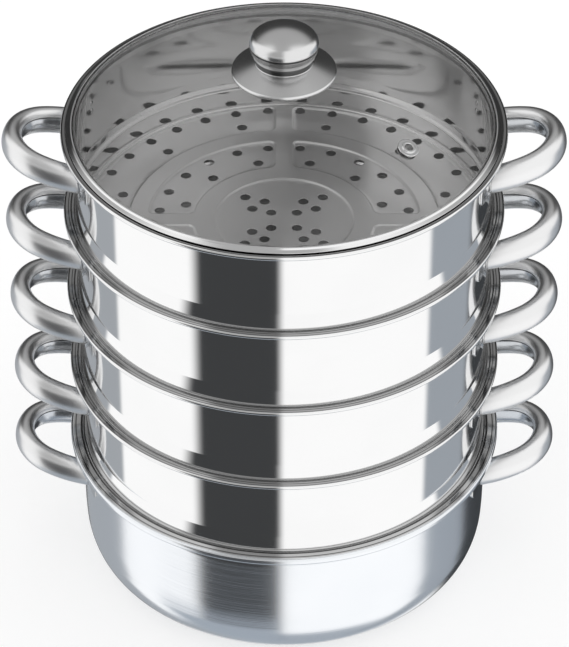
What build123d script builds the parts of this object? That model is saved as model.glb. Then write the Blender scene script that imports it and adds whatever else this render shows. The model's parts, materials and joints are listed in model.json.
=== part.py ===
from build123d import *
import os
from math import asin, atan2, cos, degrees, radians, sin, sqrt, tan

# Steamer pot: a base pot, four stacking steamer baskets and a domed glass lid, all in mm.
# +Z is up, the origin is the centre of the pot's bottom, and the handles lie along X.

# Stack
TIER_COUNT = 4
TIER_PITCH = 64.0              # from one rim to the next
POT_DEPTH = 104.5              # from the table to the pot's rim
SEAT_DEPTH = 0.8               # how far the seat ring lies below the rim's top

# Mouth and rim, shared by the pot and the baskets so that any tier fits any other
MOUTH_RADIUS = 140.4           # inner radius of every mouth
SEAT_WIDTH = 4.2               # from the mouth to the seat ring's outer edge
SEAT_RISE_WIDTH = 0.9          # width of the slope from the seat to the rim's top
SEAT_EDGE_BEND = 0.4
MOUTH_BEND = 0.8
RIM_BEND = 1.0
OVERRUN = 1.0                  # how far a cutting tool runs past the face that it cuts

# Steamer basket
BASKET_SHEET = 0.7
BASKET_RIM_WIDTH = 5.4         # from the seat ring to the rim's outer edge
BASKET_RIM_HEIGHT = 3.0
BASKET_CURL = 1.75             # length of the edge turned in under the rim
FLARE_HEIGHT = 12.4            # from the foot's ledge up to where the wall starts to flare
CREASE_BEND = 1.5
FLARE = 2.4                    # how much the foot is wider than the wall
FOOT_BEND = 0.8
COLLAR_CLEARANCE = 0.6         # gap between the nesting collar and the mouth below
COLLAR_HEIGHT = 15.4           # from the foot's ledge down to the floor's underside
COLLAR_BEND = 0.6
FLOOR_BEND = 1.6

# Perforated floor
HOLE_RADIUS = 3.5
PRESS_DEPTH = 1.0              # depth of the pressed panels between the ribs
PANEL_CORNER = 5.0
SPOKE_HALF_WIDTH = 5.6
HUB_PANEL_SHARE = 0.347         # radii of panels and hole rings, as shares of the floor's radius
INNER_PANEL_SHARES = (0.4385, 0.676)
OUTER_PANEL_SHARES = (0.7585, 0.979)
HUB_RING_SHARES = (0.089, 0.1833, 0.1833, 0.2717)
HUB_RING_ANGLES = (45.0, 31.5, 58.5, 45.0)
SPARSE_RING_SHARES = (0.501, 0.8267)
SPARSE_RING_ANGLES = (15.0, 45.0, 75.0)
INNER_RING_SHARE = 0.6183
INNER_RING_ANGLES = (7.5, 22.5, 37.5, 52.5, 67.5, 82.5)
OUTER_RING_SHARE = 0.9504
OUTER_RING_ANGLES = (5.0, 15.0, 25.0, 35.0, 45.0, 55.0, 65.0, 75.0, 85.0)
QUARTERS = 4

# Base pot
POT_SHEET = 1.0
POT_RIM_WIDTH = 7.6            # from the seat ring to the rim's outer edge
POT_RIM_HEIGHT = 5.0
POT_CURL = 2.1
POT_NECK_DROP = 5.5            # from the rim down to where the shoulder starts
POT_SHOULDER_DROP = 14.0       # from the rim down to where the shoulder ends
POT_SHOULDER_BEND = 6.0
POT_SHOULDER = 2.1             # how much the wall is wider than the mouth
POT_SIDE_START = 33.9          # height above the table where the side starts to turn in
POT_SIDE_BEND = 43.2
POT_SIDE_TURN = 18.0           # degrees turned by the upper, wider bend
TANGENT_SHARE = 0.999          # share of the free length that the lower bend takes

# Loop handle
HANDLE_DROP = 22.3             # from the rim down to the loop's root
HANDLE_TILT = 14.0             # degrees by which the loop rises outwards
HANDLE_INSET = 1.8             # how far the loop's root centre lies inside the wall's surface
HANDLE_REACH = 45.1            # from the root to the centreline's tip, along the loop
HANDLE_HALF_SPREAD = 33.0      # half the distance between the two arms' centrelines
HANDLE_TIP_SHARE = 0.909       # radius of the round tip, as a share of the half spread
HANDLE_HALF_THICKNESS = 6.7
HANDLE_HALF_HEIGHT = 9.8
HANDLE_SHEET = 1.0
HANDLE_ROOT_OVERRUN = 8.0      # straight stretch inside the wall, trimmed off
SEAM_BELOW = 4.2               # lower seam, below the section's centre
SEAM_ABOVE = 5.4               # upper seam, above the section's centre
SEAM_GAP = 0.2

# Handle feet and weld spots
FOOT_SHEET = 1.2
FOOT_INWARD = 11.0             # from the arm's centreline to the plate's inner end
FOOT_OUTWARD = 23.0            # from the arm's centreline to the plate's outer end
FOOT_HEIGHT = 14.0
FOOT_CORNER = 5.0
SPOT_RADIUS = 1.75
SPOT_PROUD = 0.5
SPOT_FIT = 0.02                # gap between a spot and the wall
SPOT_INSET = 6.0               # from the plate's outer end to the pair of spots
SPOT_SPACING = 6.0             # between the two spots, one above the other

# Glass lid
GLASS_SPHERE_SHARE = 1.86      # radius of the dome's curve, as a share of the mouth's radius
GLASS_THICKNESS = 3.5
GLASS_OVERLAP = 3.0            # how far the glass reaches past the mouth
GLASS_EDGE_TOP = 0.9           # top of the glass at its edge, above the rim
GLASS_FLAT = 0.15              # depth of the ground seat at the edge, below the rim's top
SCREW_HOLE_CLEARANCE = 1.1
VENT_HOLE_CLEARANCE = 0.2
VENT_SHARE = 0.725             # from the lid's axis to the vent, as a share of the mouth's radius
VENT_AZIMUTH = -37.4

# Lid band
BAND_WIDTH = 3.6               # from the glass edge to the band's outer edge
BAND_LIP_WIDTH = 1.2           # how far the lip reaches in over the glass
BAND_SHEET = 0.6
BAND_FIT = 0.1                 # gap between the band and the glass
BAND_CROWN = 3.2               # highest point of the rounded top, above the rim
BAND_CROWN_SHARE = 0.5         # place of that point between the lip and the outer edge
BAND_EDGE_TOP = 2.4
BAND_EDGE_BOTTOM = 1.8
BAND_EDGE_ROUND = 0.25
BAND_BACK = 1.1                # wall behind the glass edge
BAND_PLUG_DEPTH = 6.0          # how far the locating lip reaches into the mouth
BAND_PLUG_CLEARANCE = 0.6
BAND_FOOT_TOP = 0.9            # top of the foot that stands on the seat ring
BAND_FOOT_INSET = 0.4          # how far the foot stays inside the seat ring's outer edge

# Knob
SKIRT_WIDTH = 15.6             # from the neck to the skirt's outer edge
SKIRT_LIFT = 0.1               # gap between the skirt's edge and the glass
SKIRT_EDGE_HEIGHT = 1.6
SKIRT_EDGE_BEND = 1.2
SKIRT_RISE = 7.0               # from the top of the glass to where the cone meets the neck
NECK_RADIUS = 19.5
NECK_HEIGHT = 3.9
NECK_BEND = 0.9
NECK_ROUND = 0.7
KNOB_SHEET = 1.2
CUP_STEP = 1.1                 # how much the cup's foot is wider than the neck
CUP_SPREAD = 1.7               # how much the cup is wider than its foot
CUP_HEIGHT = 7.7               # from the neck's top to the cup's open edge
CUP_BELLY_SHARE = 0.45         # height of the cup's fullest turn, as a share of its height
CUP_BEND = 2.4
CUP_LIP = 0.8                  # how much the cap is wider than the cup
CAP_SEAM = 0.2                 # gap between the cup's edge and the cap's
CAP_EDGE_HEIGHT = 1.4          # straight edge under the dome
CAP_RISE = 12.0
CAP_SIDE_BEND = 7.5            # centreline radius of the turn from the edge to the crown
BOSS_SIDE_WALL = 2.1
BOSS_HEIGHT = 11.3             # from the neck's top
SCREW_RADIUS = 2.9
SCREW_HEAD_WIDTH = 3.1         # from the shank to the head's outer edge
SCREW_HEAD_HEIGHT = 3.0
SCREW_HEAD_ROUND = 1.2
SCREW_SLOT_WIDTH = 1.2
SCREW_SLOT_DEPTH = 1.3
SCREW_END_GAP = 1.0            # blind bore left above the screw's end
BOSS_WALL = 2.0                # closed end of the boss
WASHER_WIDTH = 3.0             # how far the washer reaches past the screw's head
WASHER_THICKNESS = 1.5
WASHER_BORE_CLEARANCE = 0.4
KNOB_FIT = 0.05

# Vent eyelet
EYELET_TUBE_RADIUS = 3.9
EYELET_WALL = 1.2
EYELET_FLANGE_WIDTH = 3.3      # from the tube to the flange's outer edge
EYELET_FLANGE_HEIGHT = 1.0
EYELET_COLLAR_WIDTH = 0.7      # from the tube to the collar's outer edge
EYELET_COLLAR_HEIGHT = 1.9
EYELET_ROUND = 0.4
BACK_RING_WIDTH = 2.9          # from the tube to the ring's outer edge
BACK_RING_HEIGHT = 1.0
EYELET_TAIL = 1.6              # how far the tube reaches out under the glass
EYELET_LIFT = 0.1              # gap between the flange's rim and the curved glass

# Places worked out from the sizes above
SEAT_RADIUS = MOUTH_RADIUS + SEAT_WIDTH
BASKET_RIM_RADIUS = SEAT_RADIUS + BASKET_RIM_WIDTH
POT_RIM_RADIUS = SEAT_RADIUS + POT_RIM_WIDTH
POT_WALL_RADIUS = MOUTH_RADIUS + POT_SHEET + POT_SHOULDER
BASKET_WALL_RADIUS = MOUTH_RADIUS + BASKET_SHEET
COLLAR_RADIUS = MOUTH_RADIUS - COLLAR_CLEARANCE
FOOT_DROP = TIER_PITCH + SEAT_DEPTH
FLOOR_UNDERSIDE_DROP = FOOT_DROP + COLLAR_HEIGHT
FLOOR_DROP = FLOOR_UNDERSIDE_DROP - BASKET_SHEET
CREASE_DROP = FOOT_DROP - FLARE_HEIGHT
FLOOR_RADIUS = COLLAR_RADIUS - BASKET_SHEET
TOP_RIM = POT_DEPTH + TIER_COUNT * TIER_PITCH
HANDLE_TIP_RADIUS = HANDLE_HALF_SPREAD * HANDLE_TIP_SHARE
FOOT_INNER_REACH = HANDLE_HALF_SPREAD - FOOT_INWARD
FOOT_OUTER_REACH = HANDLE_HALF_SPREAD + FOOT_OUTWARD
GLASS_SPHERE_RADIUS = MOUTH_RADIUS * GLASS_SPHERE_SHARE
GLASS_EDGE_RADIUS = MOUTH_RADIUS + GLASS_OVERLAP
GLASS_CENTRE = GLASS_EDGE_TOP - sqrt(GLASS_SPHERE_RADIUS ** 2 - GLASS_EDGE_RADIUS ** 2)
GLASS_APEX = GLASS_CENTRE + GLASS_SPHERE_RADIUS
VENT_POLAR_RADIUS = MOUTH_RADIUS * VENT_SHARE
VENT_HOLE_RADIUS = EYELET_TUBE_RADIUS + VENT_HOLE_CLEARANCE
SCREW_HOLE_RADIUS = SCREW_RADIUS + SCREW_HOLE_CLEARANCE
SCREW_HEAD_RADIUS = SCREW_RADIUS + SCREW_HEAD_WIDTH
BAND_RADIUS = GLASS_EDGE_RADIUS + BAND_WIDTH
BAND_LIP_RADIUS = GLASS_EDGE_RADIUS - BAND_LIP_WIDTH
SKIRT_RADIUS = NECK_RADIUS + SKIRT_WIDTH
SKIRT_TOP = GLASS_APEX + SKIRT_RISE
NECK_TOP = SKIRT_TOP + NECK_HEIGHT
CUP_FOOT_RADIUS = NECK_RADIUS + CUP_STEP
CUP_RADIUS = CUP_FOOT_RADIUS + CUP_SPREAD
CUP_TOP = NECK_TOP + CUP_HEIGHT
CAP_RADIUS = CUP_RADIUS + CUP_LIP
CAP_EQUATOR = CUP_TOP + CAP_SEAM + CAP_EDGE_HEIGHT
BOSS_TOP = NECK_TOP + BOSS_HEIGHT
BORE_TOP = BOSS_TOP - BOSS_WALL
SIDES = {"right": 0, "left": 180}


def revolved_sheet(points, bends, thickness):
    """Sheet of even thickness that follows a bent centreline, turned about the axis."""
    face = trace(FilletPolyline(*points, radius=bends), thickness)
    return revolve(Plane.XZ * face, Axis.Z)


def rim_line(rim_radius, rim_height, curl, sheet):
    """Centreline of a rim, from the edge turned in under it to the seat's inner edge."""
    half = sheet / 2
    outer = rim_radius - half
    points = [
        (outer - curl, half - rim_height),
        (outer, half - rim_height),
        (outer, -half),
        (SEAT_RADIUS + SEAT_RISE_WIDTH, -half),
        (SEAT_RADIUS, -half - SEAT_DEPTH),
        (MOUTH_RADIUS + half, -half - SEAT_DEPTH),
    ]
    return points, [RIM_BEND, RIM_BEND, SEAT_EDGE_BEND, SEAT_EDGE_BEND, MOUTH_BEND]


def panel_outline(inner_radius, outer_radius):
    """One quarter of a ring between two spokes, with rounded corners."""
    ring = Circle(outer_radius) - Circle(inner_radius)
    quarter = Pos(SPOKE_HALF_WIDTH, SPOKE_HALF_WIDTH) * Rectangle(
        outer_radius, outer_radius, align=(Align.MIN, Align.MIN))
    panel = ring & quarter
    return fillet(panel.vertices(), PANEL_CORNER)


def pressed_panel(outline, top):
    """Tool for a panel pressed down into the floor, with sides that slope inwards."""
    block = extrude(outline, -PRESS_DEPTH)
    lowest = block.edges().filter_by_position(Axis.Z, -PRESS_DEPTH, -PRESS_DEPTH)
    return Pos(0, 0, top) * chamfer(lowest, PRESS_DEPTH * TANGENT_SHARE)


def floor_panels(top):
    """Tools of the hub panel and of the four inner and four outer panels."""
    tools = [pressed_panel(Sketch() + Circle(HUB_PANEL_SHARE * FLOOR_RADIUS), top)]
    for inner, outer in (INNER_PANEL_SHARES, OUTER_PANEL_SHARES):
        panel = pressed_panel(panel_outline(inner * FLOOR_RADIUS, outer * FLOOR_RADIUS), top)
        tools += [Rot(0, 0, 360 / QUARTERS * quarter) * panel for quarter in range(QUARTERS)]
    return tools


def hole_places():
    """Radius and angle of every steam hole in one quarter of the floor."""
    places = list(zip(HUB_RING_SHARES, HUB_RING_ANGLES))
    places += [(share, angle) for share in SPARSE_RING_SHARES for angle in SPARSE_RING_ANGLES]
    places += [(INNER_RING_SHARE, angle) for angle in INNER_RING_ANGLES]
    places += [(OUTER_RING_SHARE, angle) for angle in OUTER_RING_ANGLES]
    return [(share * FLOOR_RADIUS, angle) for share, angle in places]


def steam_holes(top):
    """Cylinders for all the steam holes of a floor."""
    height = BASKET_SHEET + PRESS_DEPTH + 2 * OVERRUN
    drill = Pos(0, 0, top + OVERRUN) * Cylinder(
        HOLE_RADIUS, height, align=(Align.CENTER, Align.CENTER, Align.MAX))
    return [
        Rot(0, 0, angle + 360 / QUARTERS * quarter) * Pos(radius, 0, 0) * drill
        for radius, angle in hole_places()
        for quarter in range(QUARTERS)
    ]


def basket_shell():
    """One steamer basket about its own rim: wall, flared foot, collar and perforated floor."""
    half = BASKET_SHEET / 2
    wall = MOUTH_RADIUS + half
    points, bends = rim_line(BASKET_RIM_RADIUS, BASKET_RIM_HEIGHT, BASKET_CURL, BASKET_SHEET)
    points += [
        (wall, -CREASE_DROP),
        (wall + FLARE, half - FOOT_DROP),
        (COLLAR_RADIUS - half, half - FOOT_DROP),
        (COLLAR_RADIUS - half, half - FLOOR_UNDERSIDE_DROP),
        (0, half - FLOOR_UNDERSIDE_DROP),
    ]
    bends = bends[:4] + [MOUTH_BEND, CREASE_BEND, FOOT_BEND, COLLAR_BEND, FLOOR_BEND]
    shell = revolved_sheet(points, bends, BASKET_SHEET)
    panels = floor_panels(-FLOOR_DROP)
    shell += [Pos(0, 0, -BASKET_SHEET) * panel for panel in panels]
    shell -= panels
    return shell - steam_holes(-FLOOR_DROP)


def pot_shell():
    """The base pot about its own rim: neck, shoulder, wall and rounded bottom corner."""
    half = POT_SHEET / 2
    wall = POT_WALL_RADIUS - half
    points, bends = rim_line(POT_RIM_RADIUS, POT_RIM_HEIGHT, POT_CURL, POT_SHEET)
    side_tangent = POT_SIDE_BEND * tan(radians(POT_SIDE_TURN / 2))
    side_corner = POT_SIDE_START - POT_DEPTH - side_tangent
    bottom = half - POT_DEPTH
    slant = (side_corner - bottom) / cos(radians(POT_SIDE_TURN))
    free = (slant - side_tangent) * TANGENT_SHARE
    points += [
        (MOUTH_RADIUS + half, -POT_NECK_DROP),
        (wall, -POT_SHOULDER_DROP),
        (wall, side_corner),
        (wall - slant * sin(radians(POT_SIDE_TURN)), bottom),
        (0, bottom),
    ]
    lower_bend = free / tan(radians((90 - POT_SIDE_TURN) / 2))
    bends += [POT_SHOULDER_BEND, POT_SHOULDER_BEND, POT_SIDE_BEND, lower_bend]
    return revolved_sheet(points, bends, POT_SHEET)


def loop_path():
    """Centreline of the loop in its own plane: straight roots, two side bends, a round tip."""
    tip_centre = HANDLE_REACH - HANDLE_TIP_RADIUS
    spread = HANDLE_HALF_SPREAD
    gap = HANDLE_TIP_RADIUS - spread
    side_radius = (tip_centre ** 2 + spread ** 2 - HANDLE_TIP_RADIUS ** 2) / (-2 * gap)
    side_centre = side_radius - spread
    turn = degrees(atan2(side_centre, tip_centre))
    start = (-HANDLE_ROOT_OVERRUN, -spread)
    root = Line(start, (0, -spread))
    side = CenterArc((0, side_centre), side_radius, -90, 90 - turn)
    tip = CenterArc((tip_centre, 0), HANDLE_TIP_RADIUS, -turn, 2 * turn)
    far_side = mirror(side, Plane.XZ)
    far_root = mirror(root, Plane.XZ)
    return Wire([root.edge(), side.edge(), tip.edge(), far_side.edge(), far_root.edge()]), start


def loop_sections():
    """Cross-sections of the handle shell and of the liner strip that closes its inner side."""
    ring = Ellipse(HANDLE_HALF_THICKNESS, HANDLE_HALF_HEIGHT) - Ellipse(
        HANDLE_HALF_THICKNESS - HANDLE_SHEET, HANDLE_HALF_HEIGHT - HANDLE_SHEET)
    middle = (SEAM_ABOVE - SEAM_BELOW) / 2
    height = SEAM_ABOVE + SEAM_BELOW
    slot = Pos(0, middle) * Rectangle(
        HANDLE_HALF_THICKNESS * 2, height, align=(Align.MIN, Align.CENTER))
    strip = Pos(0, middle) * Rectangle(
        HANDLE_HALF_THICKNESS * 2, height - 2 * SEAM_GAP, align=(Align.MIN, Align.CENTER))
    return ring - slot, ring & strip


def loop_handle(wall_radius):
    """Shell and liner of a handle on a wall of this radius, about the tier's rim."""
    path, start = loop_path()
    root_plane = Plane(origin=(*start, 0), x_dir=(0, 1, 0), z_dir=(1, 0, 0))
    tilt = radians(HANDLE_TILT)
    place = Plane(
        origin=(wall_radius - HANDLE_INSET, 0, -HANDLE_DROP),
        x_dir=(cos(tilt), 0, sin(tilt)),
        z_dir=(-sin(tilt), 0, cos(tilt)),
    )
    trim = Pos(0, 0, -HANDLE_DROP) * Cylinder(
        wall_radius + FOOT_SHEET, 4 * HANDLE_HALF_HEIGHT)
    return [
        place.location * sweep(root_plane * section, path) - trim
        for section in loop_sections()
    ]


def handle_feet(wall_radius):
    """The two small plates that lie on the wall, one under each arm."""
    width = FOOT_OUTER_REACH - FOOT_INNER_REACH
    plate = RectangleRounded(width, FOOT_HEIGHT, FOOT_CORNER)
    middle = (FOOT_OUTER_REACH + FOOT_INNER_REACH) / 2
    outline = Plane.YZ * (Pos(middle, -HANDLE_DROP) * plate)
    block = extrude(outline, wall_radius + 2 * FOOT_SHEET)
    height = 2 * FOOT_HEIGHT
    ring = Cylinder(wall_radius + FOOT_SHEET, height) - Cylinder(wall_radius, height)
    foot = block & (Pos(0, 0, -HANDLE_DROP) * ring)
    return Compound(children=[foot.solid(), mirror(foot, Plane.XZ).solid()])


def weld_spots(inner_radius):
    """Four small round spots that stand proud inside the wall, two behind each plate."""
    angle = degrees(asin((FOOT_OUTER_REACH - SPOT_INSET) / inner_radius))
    height = 4 * SPOT_RADIUS
    ring = Cylinder(inner_radius - SPOT_FIT, height) - Cylinder(inner_radius - SPOT_PROUD, height)
    spot = extrude(Plane.YZ * Circle(SPOT_RADIUS), inner_radius + OVERRUN) & ring
    spots = [
        (Pos(0, 0, half - HANDLE_DROP) * Rot(0, 0, side) * spot).solid()
        for half in (SPOT_SPACING / 2, -SPOT_SPACING / 2)
        for side in (angle, -angle)
    ]
    return Compound(children=spots)


def glass_height(radius, sphere_radius=GLASS_SPHERE_RADIUS):
    """Height of the glass surface above the rim, at a distance from the lid's axis."""
    return GLASS_CENTRE + sqrt(sphere_radius ** 2 - radius ** 2)


def vent_plane():
    """Plane on the glass at the vent, with its normal square to the glass."""
    azimuth = radians(VENT_AZIMUTH)
    polar = asin(VENT_POLAR_RADIUS / GLASS_SPHERE_RADIUS)
    normal = (sin(polar) * cos(azimuth), sin(polar) * sin(azimuth), cos(polar))
    place = tuple(GLASS_SPHERE_RADIUS * n for n in normal)
    return Plane(origin=(place[0], place[1], place[2] + GLASS_CENTRE), z_dir=normal)


def on_vent(solid):
    """Moves a solid that was made about the vent's axis to its place on the glass."""
    return vent_plane().location * solid


def lid_glass():
    """Domed glass with a ground edge, a hole for the knob screw and one for the vent."""
    inner_sphere = GLASS_SPHERE_RADIUS - GLASS_THICKNESS
    dome = Pos(0, 0, GLASS_CENTRE) * (Sphere(GLASS_SPHERE_RADIUS) - Sphere(inner_sphere))
    edge = Pos(0, 0, -GLASS_FLAT) * Cylinder(
        GLASS_EDGE_RADIUS, 2 * GLASS_APEX, align=(Align.CENTER, Align.CENTER, Align.MIN))
    glass = dome & edge
    glass -= Pos(0, 0, GLASS_APEX) * Cylinder(SCREW_HOLE_RADIUS, 4 * GLASS_THICKNESS)
    return glass - on_vent(Cylinder(VENT_HOLE_RADIUS, 4 * GLASS_THICKNESS))


def lid_band():
    """Ring round the glass edge: rounded lip, outer edge, seat foot and locating lip."""
    plug = MOUTH_RADIUS - BAND_PLUG_CLEARANCE
    groove = GLASS_EDGE_RADIUS + BAND_FIT
    back = groove + BAND_BACK
    shelf = -GLASS_FLAT - BAND_FIT
    lip = glass_height(BAND_LIP_RADIUS) + BAND_FIT
    lip_top = (BAND_LIP_RADIUS, lip + BAND_SHEET)
    edge_top = (BAND_RADIUS, BAND_EDGE_TOP)
    crown_radius = BAND_LIP_RADIUS + (BAND_RADIUS - BAND_LIP_RADIUS) * BAND_CROWN_SHARE
    crown = ThreePointArc(lip_top, (crown_radius, BAND_CROWN), edge_top)
    points = [
        edge_top,
        (BAND_RADIUS, BAND_EDGE_BOTTOM),
        (back, BAND_EDGE_BOTTOM),
        (back, BAND_FOOT_TOP),
        (SEAT_RADIUS - BAND_FOOT_INSET, BAND_FOOT_TOP),
        (SEAT_RADIUS - BAND_FOOT_INSET, -SEAT_DEPTH),
        (plug, -SEAT_DEPTH),
        (plug, -BAND_PLUG_DEPTH),
        (plug - BAND_SHEET, -BAND_PLUG_DEPTH),
        (plug - BAND_SHEET, shelf),
        (groove, shelf),
        (groove, glass_height(groove) + BAND_FIT),
        (BAND_LIP_RADIUS, lip),
        lip_top,
    ]
    face = make_face(Polyline(*points) + crown)
    outer = face.vertices().filter_by_position(Axis.X, BAND_RADIUS, BAND_RADIUS)
    return revolve(Plane.XZ * fillet(outer, BAND_EDGE_ROUND), Axis.Z)


def knob_base():
    """Wide cone that stands on the glass, with a turned-down edge and a flat-topped neck."""
    half = KNOB_SHEET / 2
    outer = SKIRT_RADIUS - half
    bottom = glass_height(SKIRT_RADIUS - KNOB_SHEET) + SKIRT_LIFT
    points = [
        (outer, bottom),
        (outer, bottom + SKIRT_EDGE_HEIGHT),
        (NECK_RADIUS - half, SKIRT_TOP - half),
        (NECK_RADIUS - half, NECK_TOP - half),
        (0, NECK_TOP - half),
    ]
    shell = revolved_sheet(points, [SKIRT_EDGE_BEND, NECK_BEND, NECK_ROUND], KNOB_SHEET)
    return shell - Pos(0, 0, NECK_TOP) * Cylinder(SCREW_HOLE_RADIUS, 4 * KNOB_SHEET)


def knob_cup():
    """Lower half of the knob head: a shallow cup with the threaded boss in its middle."""
    half = KNOB_SHEET / 2
    belly = NECK_TOP + (CUP_TOP - NECK_TOP) * CUP_BELLY_SHARE
    points = [
        (CUP_RADIUS - half, CUP_TOP),
        (CUP_RADIUS - half, belly),
        (CUP_FOOT_RADIUS - half, NECK_TOP + half),
        (0, NECK_TOP + half),
    ]
    cup = revolved_sheet(points, [CUP_BEND, KNOB_SHEET], KNOB_SHEET)
    cup += Pos(0, 0, NECK_TOP + half) * Cylinder(
        SCREW_RADIUS + BOSS_SIDE_WALL, BOSS_TOP - NECK_TOP - half,
        align=(Align.CENTER, Align.CENTER, Align.MIN))
    bore = Pos(0, 0, NECK_TOP - OVERRUN) * Cylinder(
        SCREW_RADIUS + KNOB_FIT, BORE_TOP - NECK_TOP + OVERRUN,
        align=(Align.CENTER, Align.CENTER, Align.MIN))
    return cup - bore


def knob_cap():
    """Domed top of the knob head, a shell with a short straight edge over the cup."""
    half = KNOB_SHEET / 2
    radius, rise = CAP_RADIUS - half, CAP_RISE - half
    side_centre = radius - CAP_SIDE_BEND
    less = rise - CAP_SIDE_BEND
    crown_drop = (side_centre ** 2 - less ** 2) / (less + less)
    turn = degrees(atan2(crown_drop, side_centre))
    edge = Line((radius, -CAP_EDGE_HEIGHT), (radius, 0))
    side = CenterArc((side_centre, 0), CAP_SIDE_BEND, 0, turn)
    crown = CenterArc((0, -crown_drop), crown_drop + rise, turn, 90 - turn)
    face = trace(Wire([edge.edge(), side.edge(), crown.edge()]), KNOB_SHEET)
    return Pos(0, 0, CAP_EQUATOR) * revolve(Plane.XZ * face, Axis.Z)


def washer_bottom():
    """Height of the washer's underside when its rim touches the glass from below."""
    inner_sphere = GLASS_SPHERE_RADIUS - GLASS_THICKNESS
    return glass_height(SCREW_HEAD_RADIUS + WASHER_WIDTH, inner_sphere) - WASHER_THICKNESS


def knob_screw():
    """Screw from under the glass up into the cup's boss, with a slotted round head."""
    under = washer_bottom()
    length = BORE_TOP - SCREW_END_GAP - under
    shank = Pos(0, 0, under) * Cylinder(
        SCREW_RADIUS, length, align=(Align.CENTER, Align.CENTER, Align.MIN))
    head = Pos(0, 0, under) * Cylinder(
        SCREW_HEAD_RADIUS, SCREW_HEAD_HEIGHT, align=(Align.CENTER, Align.CENTER, Align.MAX))
    head = fillet(head.edges().group_by(Axis.Z)[0], SCREW_HEAD_ROUND)
    slot = Pos(0, 0, under - SCREW_HEAD_HEIGHT) * Box(
        SCREW_SLOT_WIDTH, 2 * SCREW_HEAD_RADIUS + OVERRUN, 2 * SCREW_SLOT_DEPTH)
    return shank + head - slot


def knob_washer():
    """Washer between the screw's head and the underside of the glass."""
    disc = Cylinder(SCREW_HEAD_RADIUS + WASHER_WIDTH, WASHER_THICKNESS) - Cylinder(
        SCREW_RADIUS + WASHER_BORE_CLEARANCE, WASHER_THICKNESS)
    return Pos(0, 0, washer_bottom() + WASHER_THICKNESS / 2) * disc


def vent_eyelet():
    """Flanged tube through the glass, with a raised collar round its mouth."""
    tail = -GLASS_THICKNESS - EYELET_TAIL
    bore = EYELET_TUBE_RADIUS - EYELET_WALL
    flange = EYELET_TUBE_RADIUS + EYELET_FLANGE_WIDTH
    collar = EYELET_TUBE_RADIUS + EYELET_COLLAR_WIDTH
    points = [
        (bore, tail),
        (EYELET_TUBE_RADIUS, tail),
        (EYELET_TUBE_RADIUS, EYELET_LIFT),
        (flange, EYELET_LIFT),
        (flange, EYELET_FLANGE_HEIGHT),
        (collar, EYELET_FLANGE_HEIGHT),
        (collar, EYELET_COLLAR_HEIGHT),
        (bore, EYELET_COLLAR_HEIGHT),
    ]
    face = make_face(Polyline(*points, close=True))
    proud = face.vertices().filter_by_position(
        Axis.Y, EYELET_FLANGE_HEIGHT, EYELET_COLLAR_HEIGHT)
    proud = proud.filter_by_position(Axis.X, bore, flange)
    return on_vent(revolve(Plane.XZ * fillet(proud, EYELET_ROUND), Axis.Z))


def vent_back_ring():
    """Ring that clamps the eyelet's tube under the glass."""
    ring = Cylinder(EYELET_TUBE_RADIUS + BACK_RING_WIDTH, BACK_RING_HEIGHT) - Cylinder(
        EYELET_TUBE_RADIUS + KNOB_FIT, BACK_RING_HEIGHT)
    return on_vent(Pos(0, 0, -GLASS_THICKNESS - EYELET_LIFT - BACK_RING_HEIGHT / 2) * ring)


def add_tier(nodes, name, shell, wall_radius, inner_radius, rim):
    """Adds a tier's shell and its two handles, seated at the height of its rim."""
    lift = Pos(0, 0, rim)
    nodes[name] = lift * shell
    handle_shell, liner = loop_handle(wall_radius)
    pieces = {
        "handle_shell": handle_shell,
        "handle_liner": liner,
        "handle_feet": handle_feet(wall_radius),
        "weld_spots": weld_spots(inner_radius),
    }
    for side, turn in SIDES.items():
        for piece, solid in pieces.items():
            nodes[f"{name}_{side}_{piece}"] = lift * Rot(0, 0, turn) * solid


def build_nodes():
    """Every piece of the steamer, by the name of its node."""
    nodes = {}
    add_tier(nodes, "base_pot", pot_shell(), POT_WALL_RADIUS, POT_WALL_RADIUS - POT_SHEET,
             POT_DEPTH)
    basket = basket_shell()
    for tier in range(1, TIER_COUNT + 1):
        add_tier(nodes, f"steamer_{tier}", basket, BASKET_WALL_RADIUS, MOUTH_RADIUS,
                 POT_DEPTH + TIER_PITCH * tier)
    lid_pieces = {
        "lid_glass": lid_glass(),
        "lid_band": lid_band(),
        "lid_knob_base": knob_base(),
        "lid_knob_cup": knob_cup(),
        "lid_knob_cap": knob_cap(),
        "lid_knob_screw": knob_screw(),
        "lid_knob_washer": knob_washer(),
        "lid_vent_eyelet": vent_eyelet(),
        "lid_vent_back_ring": vent_back_ring(),
    }
    for name, solid in lid_pieces.items():
        nodes[name] = Pos(0, 0, TOP_RIM) * solid
    return nodes


os.makedirs("parts", exist_ok=True)
for node_name, node_solid in build_nodes().items():
    export_step(node_solid, f"parts/{node_name}.step")
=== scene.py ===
"""A stacking steamer pot: base pot, four steamer baskets and a domed glass lid.

Lengths are worked out in millimetres and put into the meshes in metres. +Z is up, the origin is
the centre of the pot's bottom, the handles lie along X and the front looks along -Y.
"""
from __future__ import annotations

import json
import logging
import math
from dataclasses import dataclass, field
from enum import Enum
from typing import Sequence

import bpy
import numpy as np
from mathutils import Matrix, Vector
from mathutils.geometry import delaunay_2d_cdt

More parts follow.
